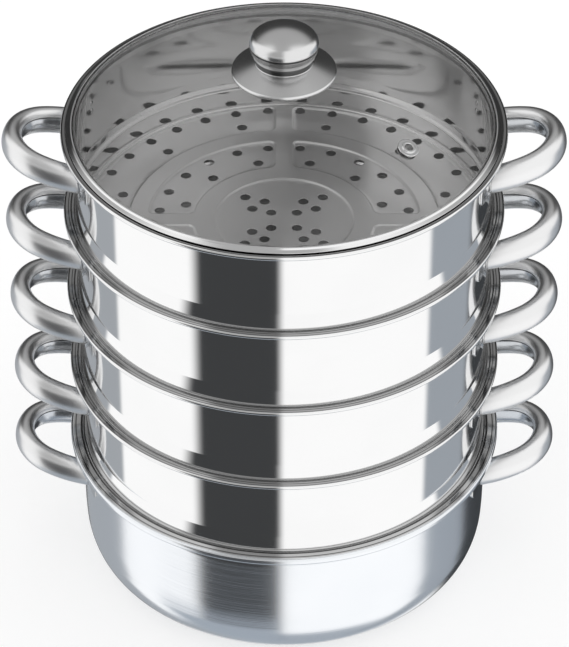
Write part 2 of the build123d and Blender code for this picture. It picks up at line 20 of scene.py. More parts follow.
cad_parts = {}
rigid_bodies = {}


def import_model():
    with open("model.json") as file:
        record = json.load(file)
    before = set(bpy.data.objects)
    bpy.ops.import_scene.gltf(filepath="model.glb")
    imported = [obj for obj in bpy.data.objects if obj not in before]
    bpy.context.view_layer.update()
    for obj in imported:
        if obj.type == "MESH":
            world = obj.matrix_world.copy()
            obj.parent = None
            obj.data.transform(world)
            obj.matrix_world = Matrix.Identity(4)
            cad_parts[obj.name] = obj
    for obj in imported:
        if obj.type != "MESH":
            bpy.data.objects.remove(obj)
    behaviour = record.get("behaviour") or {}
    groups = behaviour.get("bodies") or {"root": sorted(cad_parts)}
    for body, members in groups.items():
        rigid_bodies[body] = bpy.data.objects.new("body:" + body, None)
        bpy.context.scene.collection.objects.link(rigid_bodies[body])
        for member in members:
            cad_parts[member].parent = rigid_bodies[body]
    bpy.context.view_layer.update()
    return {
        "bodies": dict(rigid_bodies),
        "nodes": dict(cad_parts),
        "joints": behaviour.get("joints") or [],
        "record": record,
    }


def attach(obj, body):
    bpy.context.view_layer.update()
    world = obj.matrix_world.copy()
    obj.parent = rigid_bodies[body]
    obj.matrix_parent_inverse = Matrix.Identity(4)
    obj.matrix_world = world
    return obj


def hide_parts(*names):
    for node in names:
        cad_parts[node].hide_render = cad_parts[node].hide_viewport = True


LOG = logging.getLogger("steamer")
METRE = 0.001
TURN = 2 * math.pi
TINY = 1e-6


# Shapes


def circle(angles: np.ndarray) -> np.ndarray:
    """Points (cos a, sin a) at the given angles."""
    return np.stack([np.cos(angles), np.sin(angles)], -1)


def unit(vectors: np.ndarray) -> np.ndarray:
    """The vectors divided by their lengths."""
    return vectors / np.maximum(np.linalg.norm(vectors, axis=-1, keepdims=True), 1e-9)


def cut_flat(spots: np.ndarray, merge: float) -> tuple[np.ndarray, np.ndarray]:
    """Points and corners of the Delaunay triangles between flat spots."""
    cut = delaunay_2d_cdt([Vector(p) for p in spots.tolist()], [], [], 0, merge)
    return np.array([tuple(p) for p in cut[0]]), np.array(cut[2])


def open_edges(faces: np.ndarray) -> np.ndarray:
    """The edges that only one triangle has, as pairs of point numbers."""
    edges = np.concatenate([faces[:, [0, 1]], faces[:, [1, 2]], faces[:, [2, 0]]])
    single, uses = np.unique(np.sort(edges, 1), axis=0, return_counts=True)
    return single[uses == 1]


@dataclass
class Shape:
    """Points, their normals and four-cornered faces, in millimetres.

    A three-cornered face repeats its last corner. Each face has the number of its finish.
    """

    points: np.ndarray
    normals: np.ndarray
    faces: np.ndarray
    finish: np.ndarray

    @classmethod
    def plain(cls, points: np.ndarray, normals: np.ndarray, faces: np.ndarray) -> Shape:
        """A shape that is all in its piece's first finish."""
        return cls(points, normals, faces, np.zeros(len(faces), int))

    @classmethod
    def grid(cls, points: np.ndarray, normals: np.ndarray, closed: tuple[bool, bool]) -> Shape:
        """A shape from a grid of points.

        Args:
            points: array of rows by columns by 3.
            normals: array of the same size.
            closed: whether the rows, and the columns, join up at their ends.

        Returns:
            The shape; each face takes a point, its right neighbour and the two above them.
        """
        rows, columns = points.shape[:2]
        index = np.arange(rows * columns).reshape(rows, columns)
        right, up = np.roll(index, -1, 1), np.roll(index, -1, 0)
        cells = np.stack([index, right, np.roll(right, -1, 0), up], -1)
        cells = cells[:rows - (not closed[0]), :columns - (not closed[1])]
        return cls.plain(points.reshape(-1, 3), normals.reshape(-1, 3), cells.reshape(-1, 4))

    @classmethod
    def joined(cls, shapes: Sequence[Shape]) -> Shape:
        """All the given shapes as one, without merging any points."""
        starts = np.cumsum([0] + [len(s.points) for s in shapes[:-1]])
        return cls(
            np.concatenate([s.points for s in shapes]),
            np.concatenate([s.normals for s in shapes]),
            np.concatenate([s.faces + n for s, n in zip(shapes, starts)]),
            np.concatenate([s.finish for s in shapes]),
        )

    def moved(self, y: float = 0.0, z: float = 0.0) -> Shape:
        """The shape moved by the given lengths."""
        return Shape(self.points + np.array([0.0, y, z]), self.normals, self.faces, self.finish)

    def turned(self, degrees: float) -> Shape:
        """The shape turned about the vertical axis."""
        c, s = math.cos(math.radians(degrees)), math.sin(math.radians(degrees))
        spin = np.array([[c, s, 0.0], [-s, c, 0.0], [0.0, 0.0, 1.0]])
        return Shape(self.points @ spin, self.normals @ spin, self.faces, self.finish)

    def placed(self, origin: np.ndarray, axes: np.ndarray) -> Shape:
        """The shape carried from its own axes to an origin and three row axes."""
        return Shape(self.points @ axes + origin, self.normals @ axes, self.faces, self.finish)

    def welded(self, step: float = 0.001) -> Shape:
        """Merges points that share a place and drops the faces that lose their area.

        Args:
            step: points closer than this, in millimetres, count as one.

        Returns:
            The shape with shared points and with faces that follow its normals.
        """
        keys = np.round(self.points / step).astype(np.int64)
        _, first, back = np.unique(keys, axis=0, return_index=True, return_inverse=True)
        back = back.reshape(-1)
        points = self.points[first]
        normals = np.zeros_like(points)
        np.add.at(normals, back, self.normals)
        faces = back[self.faces]
        same = faces == np.roll(faces, -1, axis=1)
        three = same.any(1)
        turn = np.where(three, same.argmax(1) + 2, 0)
        faces = np.take_along_axis(faces, (np.arange(4) + turn[:, None]) % 4, 1)
        live = (same.sum(1) < 2) & (faces[:, 0] != faces[:, 2]) & (faces[:, 1] != faces[:, 3])
        return Shape(points, unit(normals), faces[live], self.finish[live]).faced()

    def faced(self) -> Shape:
        """Turns each face so that it looks the way its points' normals do."""
        p, f = self.points, self.faces
        look = np.cross(p[f[:, 2]] - p[f[:, 0]], p[f[:, 3]] - p[f[:, 1]])
        wrong = (look * self.normals[f].sum(1)).sum(1) < 0
        three = f[:, 2] == f[:, 3]
        back = np.where(three[:, None], f[:, [0, 2, 1, 1]], f[:, [0, 3, 2, 1]])
        return Shape(p, self.normals, np.where(wrong[:, None], back, f), self.finish)

    def middles(self) -> tuple[np.ndarray, np.ndarray]:
        """The middle of each face, and its distance from the axis."""
        middle = self.points[self.faces].mean(1)
        return middle, np.hypot(*middle[:, :2].T)

    def piece(self, name: str, finishes: Sequence[bpy.types.Material]) -> bpy.types.Object:
        """Puts the shape into a new object at the origin.

        Args:
            name: the piece's name.
            finishes: materials, in the order of the shape's finish numbers.

        Returns:
            The object, with its place in its mesh and with the shape's own smooth normals.
        """
        mesh = bpy.data.meshes.new(name)
        three = self.faces[:, 2] == self.faces[:, 3]
        used = np.ones(self.faces.shape, bool)
        used[three, 3] = False
        corners = self.faces[used].astype(np.int32)
        starts = np.concatenate([[0], np.cumsum(np.where(three, 3, 4))[:-1]]).astype(np.int32)
        mesh.vertices.add(len(self.points))
        mesh.vertices.foreach_set("co", (self.points * METRE).astype(np.float32).ravel())
        mesh.loops.add(len(corners))
        mesh.loops.foreach_set("vertex_index", corners)
        mesh.polygons.add(len(starts))
        mesh.polygons.foreach_set("loop_start", starts)
        mesh.polygons.foreach_set("material_index", self.finish.astype(np.int32))
        mesh.update(calc_edges=True)
        mesh.shade_smooth()
        mesh.normals_split_custom_set_from_vertices(self.normals.astype(np.float32).tolist())
        for finish in finishes:
            mesh.materials.append(finish)
        made = bpy.data.objects.new(name, mesh)
        bpy.context.scene.collection.objects.link(made)
        return made


@dataclass(frozen=True)
class Outline:
    """A section line in the plane of radius and height, with its outward normals."""

    points: np.ndarray
    normals: np.ndarray
    closed: bool = True

    def lathe(self, segments: int = 192) -> Shape:
        """Turns the outline about the vertical axis.

        Each point is (radius cos a, radius sin a, height) for evenly spaced angles a.
        """
        ring = circle(np.arange(segments) * TURN / segments)

        def spun(pairs: np.ndarray) -> np.ndarray:
            """Pairs of radius and height as a grid of points."""
            flat = pairs[:, None, :1] * ring[None]
            rise = np.broadcast_to(pairs[:, None, 1:], (len(pairs), segments, 1))
            return np.concatenate([flat, rise], -1)

        return Shape.grid(spun(self.points), spun(self.normals), (self.closed, True)).welded()


def bent_line(corners: Sequence[tuple[float, float]], bends: Sequence[float],
              step: float = 9.0, closed: bool = False) -> tuple[np.ndarray, np.ndarray]:
    """Points and left-hand normals along straight runs joined by arcs.

    Args:
        corners: the corners of the straight runs.
        bends: radius of the arc at each corner that has one, in order.
        step: largest turn between neighbouring points of an arc, in degrees.
        closed: whether the last corner joins up with the first.

    Returns:
        Arrays of points and of unit normals.
    """
    spots = np.array(corners, float)
    if closed:
        ahead, behind = np.roll(spots, -1, 0) - spots, spots - np.roll(spots, 1, 0)
    else:
        runs = np.diff(spots, axis=0)
        ahead, behind = np.vstack([runs, runs[-1:]]), np.vstack([runs[:1], runs])
    inner = list(bends) if closed else [0.0, *bends, 0.0]
    points, normals = [], []
    for spot, a, b, bend in zip(spots, unit(behind), unit(ahead), inner):
        turn = math.atan2(a[0] * b[1] - a[1] * b[0], float(a @ b))
        side = np.array([-a[1], a[0]])
        if abs(turn) < TINY:
            points.append(spot[None])
            normals.append(side[None])
            continue
        sign = math.copysign(1.0, turn)
        start = spot - a * bend * math.tan(abs(turn) / 2)
        count = max(2, math.ceil(math.degrees(abs(turn)) / step)) + 1
        t = np.linspace(0.0, turn, count)[:, None]
        normal = side * np.cos(t) - a * np.sin(t)
        centre = start + side * bend * sign
        points.append(centre - normal * bend * sign)
        normals.append(normal)
        if bend < TINY:
            points[-1][:] = spot
    return np.concatenate(points), np.concatenate(normals)


def sheet(corners: Sequence[tuple[float, float]], bends: Sequence[float], thickness: float,
          capped: tuple[bool, bool] = (True, True), step: float = 9.0) -> Outline:
    """Outline of bent sheet metal: both faces of a centreline and its rounded edges.

    Args:
        corners: corners of the centreline, in radius and height.
        bends: centreline radius at each inner corner.
        thickness: of the sheet.
        capped: whether the first and the last end have a rounded edge.
        step: largest turn between neighbouring points of an arc, in degrees.

    Returns:
        The outline, closed if both ends are capped.
    """
    points, normals = bent_line(corners, bends, step)
    half = thickness / 2
    t = np.linspace(0, math.pi, 7)[1:-1, None]

    def cap(end: np.ndarray, side: np.ndarray, out: np.ndarray) -> tuple[np.ndarray, np.ndarray]:
        """Half circle from one face of the sheet round to the other."""
        normal = side * np.cos(t) + out * np.sin(t)
        return end + normal * half, normal

    first_out = np.array([-normals[0][1], normals[0][0]])
    last_out = np.array([normals[-1][1], -normals[-1][0]])
    rows = [(points[::-1] + normals[::-1] * half, normals[::-1])]
    if capped[0]:
        rows.append(cap(points[0], normals[0], first_out))
    rows.append((points - normals * half, -normals))
    if capped[1]:
        rows.append(cap(points[-1], -normals[-1], last_out))
    return Outline(np.concatenate([r[0] for r in rows]), np.concatenate([r[1] for r in rows]),
                   closed=all(capped))


def ring_outline(corners: Sequence[tuple[float, float]], bends: Sequence[float],
                 step: float = 12.0) -> Outline:
    """Closed outline with rounded corners, given anticlockwise seen with radius to the right."""
    points, normals = bent_line(corners, bends, step, closed=True)
    return Outline(points, -normals)


# Shader maths


class Value:
    """A shader socket that can be used in Python sums."""

    def __init__(self, book: NodeBook, socket: bpy.types.NodeSocket) -> None:
        """Wraps a socket of the book's tree."""
        self.book, self.socket = book, socket

    def _maths(self, operation: str, *values: Value | float) -> Value:
        """A Math node on these values."""
        return self.book.node("ShaderNodeMath", {"operation": operation},
                              dict(enumerate(values)))

    def __add__(self, other: Value | float) -> Value:
        """Sum."""
        return self._maths("ADD", self, other)

    __radd__ = __add__

    def __mul__(self, other: Value | float) -> Value:
        """Product."""
        return self._maths("MULTIPLY", self, other)

    __rmul__ = __mul__

    def __sub__(self, other: Value | float) -> Value:
        """Difference."""
        return self._maths("SUBTRACT", self, other)

    def __rsub__(self, other: float) -> Value:
        """A number less this value."""
        return self._maths("SUBTRACT", other, self)

    def least(self, other: Value | float) -> Value:
        """The smaller of two values."""
        return self._maths("MINIMUM", self, other)

    def most(self, other: Value | float) -> Value:
        """The larger of two values."""
        return self._maths("MAXIMUM", self, other)

    def size(self) -> Value:
        """The value without its sign."""
        return self._maths("ABSOLUTE", self)

    def angle_from(self, other: Value) -> Value:
        """The angle whose tangent is this value over the other, in radians."""
        return self._maths("ARCTAN2", self, other)

    def arcsine(self) -> Value:
        """The angle whose sine is this value."""
        return self._maths("ARCSINE", self)

    def ramp(self, low: float, high: float) -> Value:
        """Smooth step from 0 at low to 1 at high."""
        return self.book.node(
            "ShaderNodeMapRange", {"interpolation_type": "SMOOTHSTEP"},
            {"Value": self, "From Min": low, "From Max": high})


class NodeBook:
    """Makes the nodes of one material or world."""

    def __init__(self, tree: bpy.types.NodeTree) -> None:
        """Starts from an empty tree."""
        self.tree = tree
        tree.nodes.clear()

    def node(self, kind: str, settings: dict[str, object] | None = None,
             inputs: dict[str | int, object] | None = None, output: str | int = 0) -> Value:
        """Adds a node.

        Args:
            kind: the node's type.
            settings: attributes, set before the sockets.
            inputs: values or links by socket name or number.
            output: the socket that the result wraps.

        Returns:
            The node's output.
        """
        made = self.tree.nodes.new(kind)
        for name, value in (settings or {}).items():
            setattr(made, name, value)
        for key, value in (inputs or {}).items():
            if isinstance(value, Value):
                self.tree.links.new(value.socket, made.inputs[key])
            else:
                made.inputs[key].default_value = value
        return Value(self, made.outputs[output])

    def close(self, kind: str, surface: Value) -> None:
        """Ends the tree in an output node."""
        end = self.tree.nodes.new(kind)
        self.tree.links.new(surface.socket, end.inputs["Surface"])

    def split(self, vector: Value) -> tuple[Value, Value, Value]:
        """The three parts of a vector."""
        node = self.node("ShaderNodeSeparateXYZ", None, {0: vector}).socket.node
        return tuple(Value(self, node.outputs[n]) for n in range(3))

    def vector(self, x: Value | float, y: Value | float, z: Value | float) -> Value:
        """A vector from its three parts."""
        return self.node("ShaderNodeCombineXYZ", None, {0: x, 1: y, 2: z})

    def radius(self, x: Value, y: Value) -> Value:
        """Distance from the upright axis."""
        return self.node("ShaderNodeVectorMath", {"operation": "LENGTH"},
                         {0: self.vector(x, y, 0.0)}, output="Value")

    def noise(self, vector: Value, scale: float, detail: float = 2.0) -> Value:
        """Smooth noise from 0 to 1."""
        return self.node("ShaderNodeTexNoise", None,
                         {"Vector": vector, "Scale": scale, "Detail": detail})

    def blend(self, share: Value | float, first: object, second: object) -> Value:
        """First colour at share 0 and second at share 1."""
        return self.node("ShaderNodeMix", {"data_type": "RGBA"},
                         {0: share, 6: first, 7: second}, output=2)

    def bump(self, height: Value) -> Value:
        """Normal tilted by a height in metres."""
        return self.node("ShaderNodeBump", None,
                         {"Height": height, "Strength": 1.0, "Distance": 1.0})


def grey(level: float, blue: float = 0.0) -> tuple[float, float, float, float]:
    """A neutral colour, cooler as blue grows."""
    return (level * (1 - blue), level * (1 - blue / 3), level * (1 + blue / 2), 1.0)


# Finishes


class Lay(Enum):
    """Which way the fine marks of a finish run."""

    ROUND = "round the axis"
    ALONG_HANDLE = "along the bent tube"
    NONE = "no direction"


@dataclass(frozen=True)
class Steel:
    """Stainless steel, from mirror polish to a brushed satin.

    The worn tone shows in soft patches and, for the rest of its share, in the fine marks. Each
    shade ring is a painted dark ring of shade about the axis, as its radius and half width in mm.
    """

    name: str
    tone: tuple[float, float, float, float]
    worn_tone: tuple[float, float, float, float]
    roughness: float
    spread: float = 0.02
    lay: Lay = Lay.NONE
    line_depth: float = 0.0
    line_density: float = 900.0
    shade_rings: tuple[tuple[float, float], ...] = ()
    shade_ring_tone: float = 0.10
    patch_scale: float = 14.0
    patch_share: float = 0.6

    def build(self) -> bpy.types.Material:
        """The material: tone and roughness vary softly and fine lines tilt the normal."""
        made = bpy.data.materials.new(self.name)
        made.use_nodes = True
        book = NodeBook(made.node_tree)
        place = book.node("ShaderNodeTexCoord", output="Object")
        x, y, z = book.split(place)
        cloud = book.noise(place, self.patch_scale, 3.0)
        fine = self.lines(book, place, x, y, z)
        wear = cloud.ramp(0.35, 0.7) * self.patch_share + fine * (1.0 - self.patch_share)
        tone = book.blend(wear, self.tone, self.worn_tone)
        # Painted shade: each ring blends the tone towards dark grey where a crease lies in shade.
        for ring, half in self.shade_rings:
            off = (book.radius(x, y) * (1.0 / METRE) - ring).size()
            tone = book.blend(1.0 - off.ramp(half * 0.5, half * 1.5), tone,
                              grey(self.shade_ring_tone))
        shader = book.node("ShaderNodeBsdfPrincipled", None, {
            "Base Color": tone,
            "Metallic": 1.0,
            "Roughness": (cloud * self.spread + fine * self.spread
                          + (self.roughness - self.spread)),
        })
        if self.line_depth:
            tilt = book.bump(fine * self.line_depth)
            book.tree.links.new(tilt.socket, shader.socket.node.inputs["Normal"])
        book.close("ShaderNodeOutputMaterial", shader)
        return made

    def lines(self, book: NodeBook, place: Value, x: Value, y: Value, z: Value) -> Value:
        """Noise drawn out along the finish's lay.

        Args:
            book: the material's nodes.
            place: the point on the piece.
            x, y, z: its parts.

        Returns:
            A value from 0 to 1.
        """
        if self.lay is Lay.ROUND:
            round_axis = y.angle_from(x)
            return book.noise(book.vector(round_axis * 1.2, z * self.line_density,
                                          book.radius(x, y) * self.line_density), 1.0, 2.0)
        if self.lay is Lay.ALONG_HANDLE:
            return book.noise(book.vector(x * 60.0, y * 60.0, z * self.line_density), 1.0, 2.0)
        return book.noise(place, 220.0, 2.0)


@dataclass(frozen=True)
class ClearGlass:
    """Clear tempered glass with a faint grey tint."""

    name: str
    tint: tuple[float, float, float, float]
    marks: float = 0.012

    def build(self) -> bpy.types.Material:
        """The material: a clear glass whose gloss varies with faint wiping marks."""
        made = bpy.data.materials.new(self.name)
        made.use_nodes = True
        book = NodeBook(made.node_tree)
        place = book.node("ShaderNodeTexCoord", output="Object")
        haze = book.noise(place, 11.0, 2.0).ramp(0.45, 0.75)
        shader = book.node("ShaderNodeBsdfPrincipled", None, {
            "Base Color": self.tint,
            "Roughness": haze * self.marks,
            "IOR": 1.5,
            "Transmission Weight": 1.0,
        })
        book.close("ShaderNodeOutputMaterial", shader)
        return made


class Palette:
    """All the finishes of the steamer, built once."""

    def __init__(self) -> None:
        """Builds every material."""
        self.wall = Steel("polished_wall_steel", grey(0.93), grey(0.90), 0.07,
                          lay=Lay.ROUND, line_depth=1.5e-7).build()
        self.floor = Steel("satin_floor_steel", grey(0.84), grey(0.78), 0.34, 0.05,
                           line_depth=1.5e-5).build()
        self.pot = Steel("brushed_pot_steel", grey(0.97, 0.03), grey(0.93, 0.04), 0.17, 0.04,
                         lay=Lay.ROUND, line_depth=4.6e-5, line_density=1400.0).build()
        self.handle = Steel("polished_handle_steel", grey(0.91), grey(0.88), 0.31, 0.02,
                            lay=Lay.ALONG_HANDLE).build()
        self.liner = Steel("handle_liner_steel", grey(0.74, 0.04), grey(0.68, 0.04), 0.2,
                           0.03).build()
        self.fitting = Steel("fitting_steel", grey(0.85), grey(0.8), 0.14, 0.03).build()
        self.knob = Steel("satin_knob_steel", grey(0.82), grey(0.78), 0.23, 0.03,
                          lay=Lay.ROUND, line_depth=2.0e-7, line_density=2200.0).build()
        # Painted shade: the cup is a darker copy of the knob's steel, for the shade under the cap.
        self.cup = Steel("cup_painted_shade_steel", grey(0.52), grey(0.47), 0.23, 0.03,
                         lay=Lay.ROUND, line_depth=2.0e-7).build()
        # Painted shade: a dark steel for the knob's neck and for the edge under the cap's seam.
        self.neck = Steel("painted_neck_shade_steel", grey(0.13), grey(0.10), 0.3, 0.04,
                          lay=Lay.ROUND, line_depth=2.0e-7).build()
        self.band = Steel("lid_band_steel", grey(0.93), grey(0.9), 0.1, 0.02,
                          lay=Lay.ROUND, line_depth=2e-7).build()
        self.ledge = Steel("satin_ledge_steel", grey(0.95), grey(0.92), 0.45, 0.05).build()
        # Painted shade: a near-black steel for the band's faces under the flange and low on the
        # plug.
        self.fold = Steel("painted_fold_shade_steel", grey(0.022), grey(0.016), 0.5, 0.05).build()
        # Painted shade: the rims' tops take a darker copy of the steel, with darker rings where
        # creases lie in shade.
        self.rim = Steel("basket_rim_painted_shade_steel", grey(0.45), grey(0.40), 0.1, 0.03, lay=Lay.ROUND,
                         shade_rings=((146.7, 0.3), (148.7, 0.14))).build()
        self.pot_rim = Steel("pot_rim_painted_shade_steel", grey(0.60), grey(0.54), 0.12, 0.03,
                             lay=Lay.ROUND, shade_rings=((144.3, 0.7), (148.6, 0.4))).build()
        self.lining = Steel("brushed_inside_steel", grey(0.88), grey(0.83), 0.08, 0.02,
                            lay=Lay.ROUND, line_depth=6e-7, line_density=700.0).build()
        self.glass = ClearGlass("lid_glass_clear", (0.95, 0.947, 0.945, 1.0)).build()


# Sub-assemblies


@dataclass(frozen=True)
class Stack:
    """Heights and radii that all the tiers share."""

    pot_depth: float = 104.5
    pitch: float = 64.0
    tiers: int = 4
    mouth: float = 140.4
    seat: float = 144.6
    seat_depth: float = 0.8
    seat_rise: float = 0.9
    # Outer radius and depth of the rim tops that take painted shade.
    rim_shade_edge: float = 149.2
    rim_shade_depth: float = 1.2

    def rim(self, tier: int) -> float:
        """Height of a tier's rim above the table; tier 0 is the pot."""
        return self.pot_depth + self.pitch * tier

    @property
    def top(self) -> float:
        """Height of the highest rim."""
        return self.rim(self.tiers)

    def rim_corners(self, radius: float, height: float, curl: float,
                    thickness: float) -> list[tuple[float, float]]:
        """Corners of a rim's centreline, from its turned-in edge to the mouth."""
        half = thickness / 2
        outer = radius - half
        return [
            (outer - curl, half - height),
            (outer, half - height),
            (outer, -half),
            (self.seat + self.seat_rise, -half),
            (self.seat, -half - self.seat_depth),
            (self.mouth + half, -half - self.seat_depth),
        ]

    def paint_rim_shade(self, shape: Shape, finish: int) -> None:
        """Gives the top of a rim, from the mouth to its outer bend, its painted-shade finish."""
        middle, radius = shape.middles()
        up = shape.normals[shape.faces].mean(1)[:, 2] > 0.5
        # turned: the rim tops between the mouth and the outer bend, which get painted shade.
        turned = (radius > self.mouth) & (radius < self.rim_shade_edge)
        shape.finish[up & turned & (middle[:, 2] > -self.rim_shade_depth)] = finish


STACK = Stack()


@dataclass
class FloorPlate:
    """The perforated floor: pressed panels between ribs, and the steam holes."""

    radius: float = 137.9
    top: float = -79.5
    thickness: float = 0.7
    press: float = 1.0
    slope: float = 1.9
    hub: float = 48.3
    rings: tuple[tuple[float, float], ...] = ((61.0, 94.0), (105.5, 136.4))
    spoke: float = 5.6
    corner: float = 5.0
    hole: float = 3.5
    hole_round: float = 0.3
    hub_holes: tuple[tuple[float, float], ...] = (
        (12.4, 45.0), (25.5, 31.5), (25.5, 58.5), (37.8, 45.0))
    sparse_rings: tuple[float, ...] = (69.7, 115.0)
    full_rings: tuple[tuple[float, int], ...] = ((86.0, 6), (132.2, 9))
    segments: int = 192
    hole_segments: int = 24
    mesh_pitch: tuple[float, float] = (3.0, 2.6)

    def hole_centres(self) -> np.ndarray:
        """Centres of the steam holes in the first quarter."""
        places = list(self.hub_holes)
        places += [(r, a) for r in self.sparse_rings for a in (15.0, 45.0, 75.0)]
        places += [(r, 90.0 / n * (k + 0.5)) for r, n in self.full_rings for k in range(n)]
        r, a = np.array(places).T
        return r[:, None] * circle(np.radians(a))

    def outside(self, x: np.ndarray, y: np.ndarray) -> np.ndarray:
        """Distance from the nearest panel's edge, less than zero inside a panel.

        A quarter panel is a ring between two spokes, drawn in by the corner radius and then
        grown by it, so its distance is the length of the two overshoots less that radius.
        """
        x, y = np.abs(x), np.abs(y)
        r = np.hypot(x, y)
        nearest = r - self.hub
        past_spoke = np.maximum(self.spoke + self.corner - np.minimum(x, y), 0)
        for inner, outer in self.rings:
            past_ring = np.maximum(r - outer + self.corner, inner + self.corner - r)
            distance = np.hypot(np.maximum(past_ring, 0), past_spoke) - self.corner
            nearest = np.minimum(nearest, distance)
        return nearest

    def height(self, x: np.ndarray, y: np.ndarray) -> np.ndarray:
        """Height of the floor's top: a smooth step down where a point is inside a panel."""
        t = np.clip((0.15 - self.outside(x, y)) / (self.slope + 0.3), 0, 1)
        return self.top - self.press * t * t * (3 - 2 * t)

    def edge_points(self, offset: float) -> np.ndarray:
        """Points on lines that run beside the panels' edges in the first quarter."""
        lines = [(self.hub + offset) * circle(np.linspace(0, math.pi / 2, 56))]
        fan = np.linspace(0, 1, 7)
        inset, grow = self.spoke + self.corner, self.corner + offset
        for inner, outer in self.rings:
            low, high = inner + self.corner, outer - self.corner
            a, b = math.asin(inset / low), math.asin(inset / high)
            arcs = ((low, a, -grow), (high, b, grow))
            for radius, margin, out in arcs:
                t = np.linspace(margin, math.pi / 2 - margin, int(radius * 1.2))
                lines.append((radius + out) * circle(t))
            run = np.linspace(low * math.cos(a), high * math.cos(b), 17)[1:-1]
            side = np.full_like(run, inset - grow)
            lines += [np.stack([run, side], -1), np.stack([side, run], -1)]
            for radius, margin, out in arcs:
                centre = radius * np.array([math.cos(margin), math.sin(margin)])
                end = margin if out > 0 else margin + math.pi - TURN
                ring = centre + grow * circle(-math.pi / 2 + (end + math.pi / 2) * fan)
                lines += [ring, ring[:, ::-1]]
        return np.concatenate(lines)

    def quarter(self) -> tuple[np.ndarray, np.ndarray]:
        """Flat points and triangles of the first quarter, without the holes."""
        centres = self.hole_centres()
        along = np.linspace(0, self.radius, 56)[:-1]
        border = np.concatenate([
            self.radius * circle(np.linspace(0, math.pi / 2, self.segments // 4 + 1)),
            np.stack([along, np.zeros_like(along)], -1),
            np.stack([np.zeros_like(along), along], -1)[1:],
        ])
        ring = circle(np.arange(self.hole_segments) * TURN / self.hole_segments)
        reach = self.hole_reaches()
        rings = np.concatenate([(centres[:, None] + r * ring).reshape(-1, 2) for r in reach])

        def clear(points: np.ndarray, hole: float, side: float) -> np.ndarray:
            """Points that stay away from the holes and from the quarter's border."""
            gap = np.linalg.norm(points[:, None] - centres[None], axis=2).min(1)
            inside = (points.min(1) > side) & (np.hypot(*points.T) < self.radius - side)
            return points[(gap > hole) & inside]

        beside = np.concatenate([self.edge_points(0.4 - self.slope * k / 5) for k in range(7)])
        wide, deep = self.mesh_pitch
        row, column = np.meshgrid(np.arange(54), np.arange(47), indexing="ij")
        mesh = np.stack([(column + row % 2 / 2) * wide, row * deep], -1).reshape(-1, 2)
        mesh = clear(mesh, 5.4, 1.2)
        mesh = mesh[np.abs(self.outside(*mesh.T) + 0.7) > 2.2]
        flat = np.concatenate([border, rings, clear(beside, reach[-1] + 0.3, 0.5), mesh])
        points, faces = cut_flat(flat, 1e-5)
        middle = points[faces].mean(1)
        gap = np.linalg.norm(middle[:, None] - centres[None], axis=2).min(1)
        return points, faces[gap > self.hole * 0.985]

    def hole_reaches(self) -> tuple[float, float, float]:
        """Radii of the rings of points round each hole, from its wall outwards."""
        r = self.hole_round
        return self.hole, self.hole + r * (1 - math.sqrt(0.5)), self.hole + r

    def build(self) -> Shape:
        """The whole plate, welded, with rounded hole edges; its outer edge stays open."""
        flat, faces = self.quarter()
        x, y = flat.T
        step = 0.02
        slope = unit(np.stack([
            (self.height(x - step, y) - self.height(x + step, y)) / (2 * step),
            (self.height(x, y - step) - self.height(x, y + step)) / (2 * step),
            np.ones_like(x),
        ], -1))
        away = flat[:, None] - self.hole_centres()[None]
        distance = np.linalg.norm(away, axis=2)
        near = distance.argmin(1)
        rows = np.arange(len(flat))
        reach, inward = distance[rows, near], unit(-away[rows, near])
        sink = np.clip((self.hole + self.hole_round - reach) / self.hole_round, 0, 1)
        drop = self.hole_round * (1 - np.sqrt(1 - sink ** 2))
        on_edge = (sink > 0.01)[:, None]
        lean = np.concatenate([inward * sink[:, None], np.sqrt(1 - sink ** 2)[:, None]], 1)
        top_normal = np.where(on_edge, lean, slope)
        level = self.height(x, y)
        top = np.concatenate([flat, (level - drop)[:, None]], 1)
        under = np.concatenate([flat, (level - self.thickness + drop)[:, None]], 1)
        under_normal = np.where(on_edge, lean * np.array([1, 1, -1]), -slope)
        count = len(flat)
        corners = np.concatenate([faces, faces[:, 2:]], 1)
        rim = open_edges(faces)
        rim = rim[(reach[rim] < self.hole + 0.01).all(1)]
        wall = np.stack([rim[:, 0], rim[:, 1], rim[:, 1] + count, rim[:, 0] + count], -1)
        every = np.concatenate([corners, corners + count, wall])
        part = Shape(np.concatenate([top, under]), np.concatenate([top_normal, under_normal]),
                     every, np.ones(len(every), int))
        return Shape.joined([part.turned(90.0 * k) for k in range(4)]).welded()


@dataclass
class Basket:
    """A steamer basket's shell: rim, wall, flared foot, nesting collar and floor."""

    thickness: float = 0.7
    rim_radius: float = 150.0
    rim_height: float = 3.0
    curl: float = 1.75
    crease: float = 52.4
    flare: float = 2.4
    collar_clearance: float = 0.6
    collar_height: float = 15.4
    bends: tuple[float, ...] = (0.9, 1.15, 0.4, 0.4, 0.8, 2.5, 0.9, 0.6, 1.3)
    floor: FloorPlate = field(default_factory=FloorPlate)

    @property
    def wall_radius(self) -> float:
        """Outer radius of the wall."""
        return STACK.mouth + self.thickness

    def build(self) -> Shape:
        """The shell about its own rim: a turned section welded to the floor plate."""
        half = self.thickness / 2
        wall = STACK.mouth + half
        foot = STACK.pitch + STACK.seat_depth
        collar = STACK.mouth - self.collar_clearance - half
        bottom = half - foot - self.collar_height
        corners = STACK.rim_corners(self.rim_radius, self.rim_height, self.curl, self.thickness)
        corners += [
            (wall, -self.crease),
            (wall + self.flare, half - foot),
            (collar, half - foot),
            (collar, bottom),
            (self.floor.radius, bottom),
        ]
        section = sheet(corners, self.bends, self.thickness, capped=(True, False)).lathe()
        middle, radius = section.middles()
        inside = ((radius < STACK.mouth + self.flare)
                  & (middle[:, 2] < -STACK.seat_depth - self.thickness)
                  & ((section.normals[section.faces].sum(1) * middle)[:, :2].sum(1) < 0))
        section.finish[inside] = 2
        # Painted shade on the rim's top: the fourth finish.
        STACK.paint_rim_shade(section, 3)
        return Shape.joined([section, self.floor.build()]).welded()


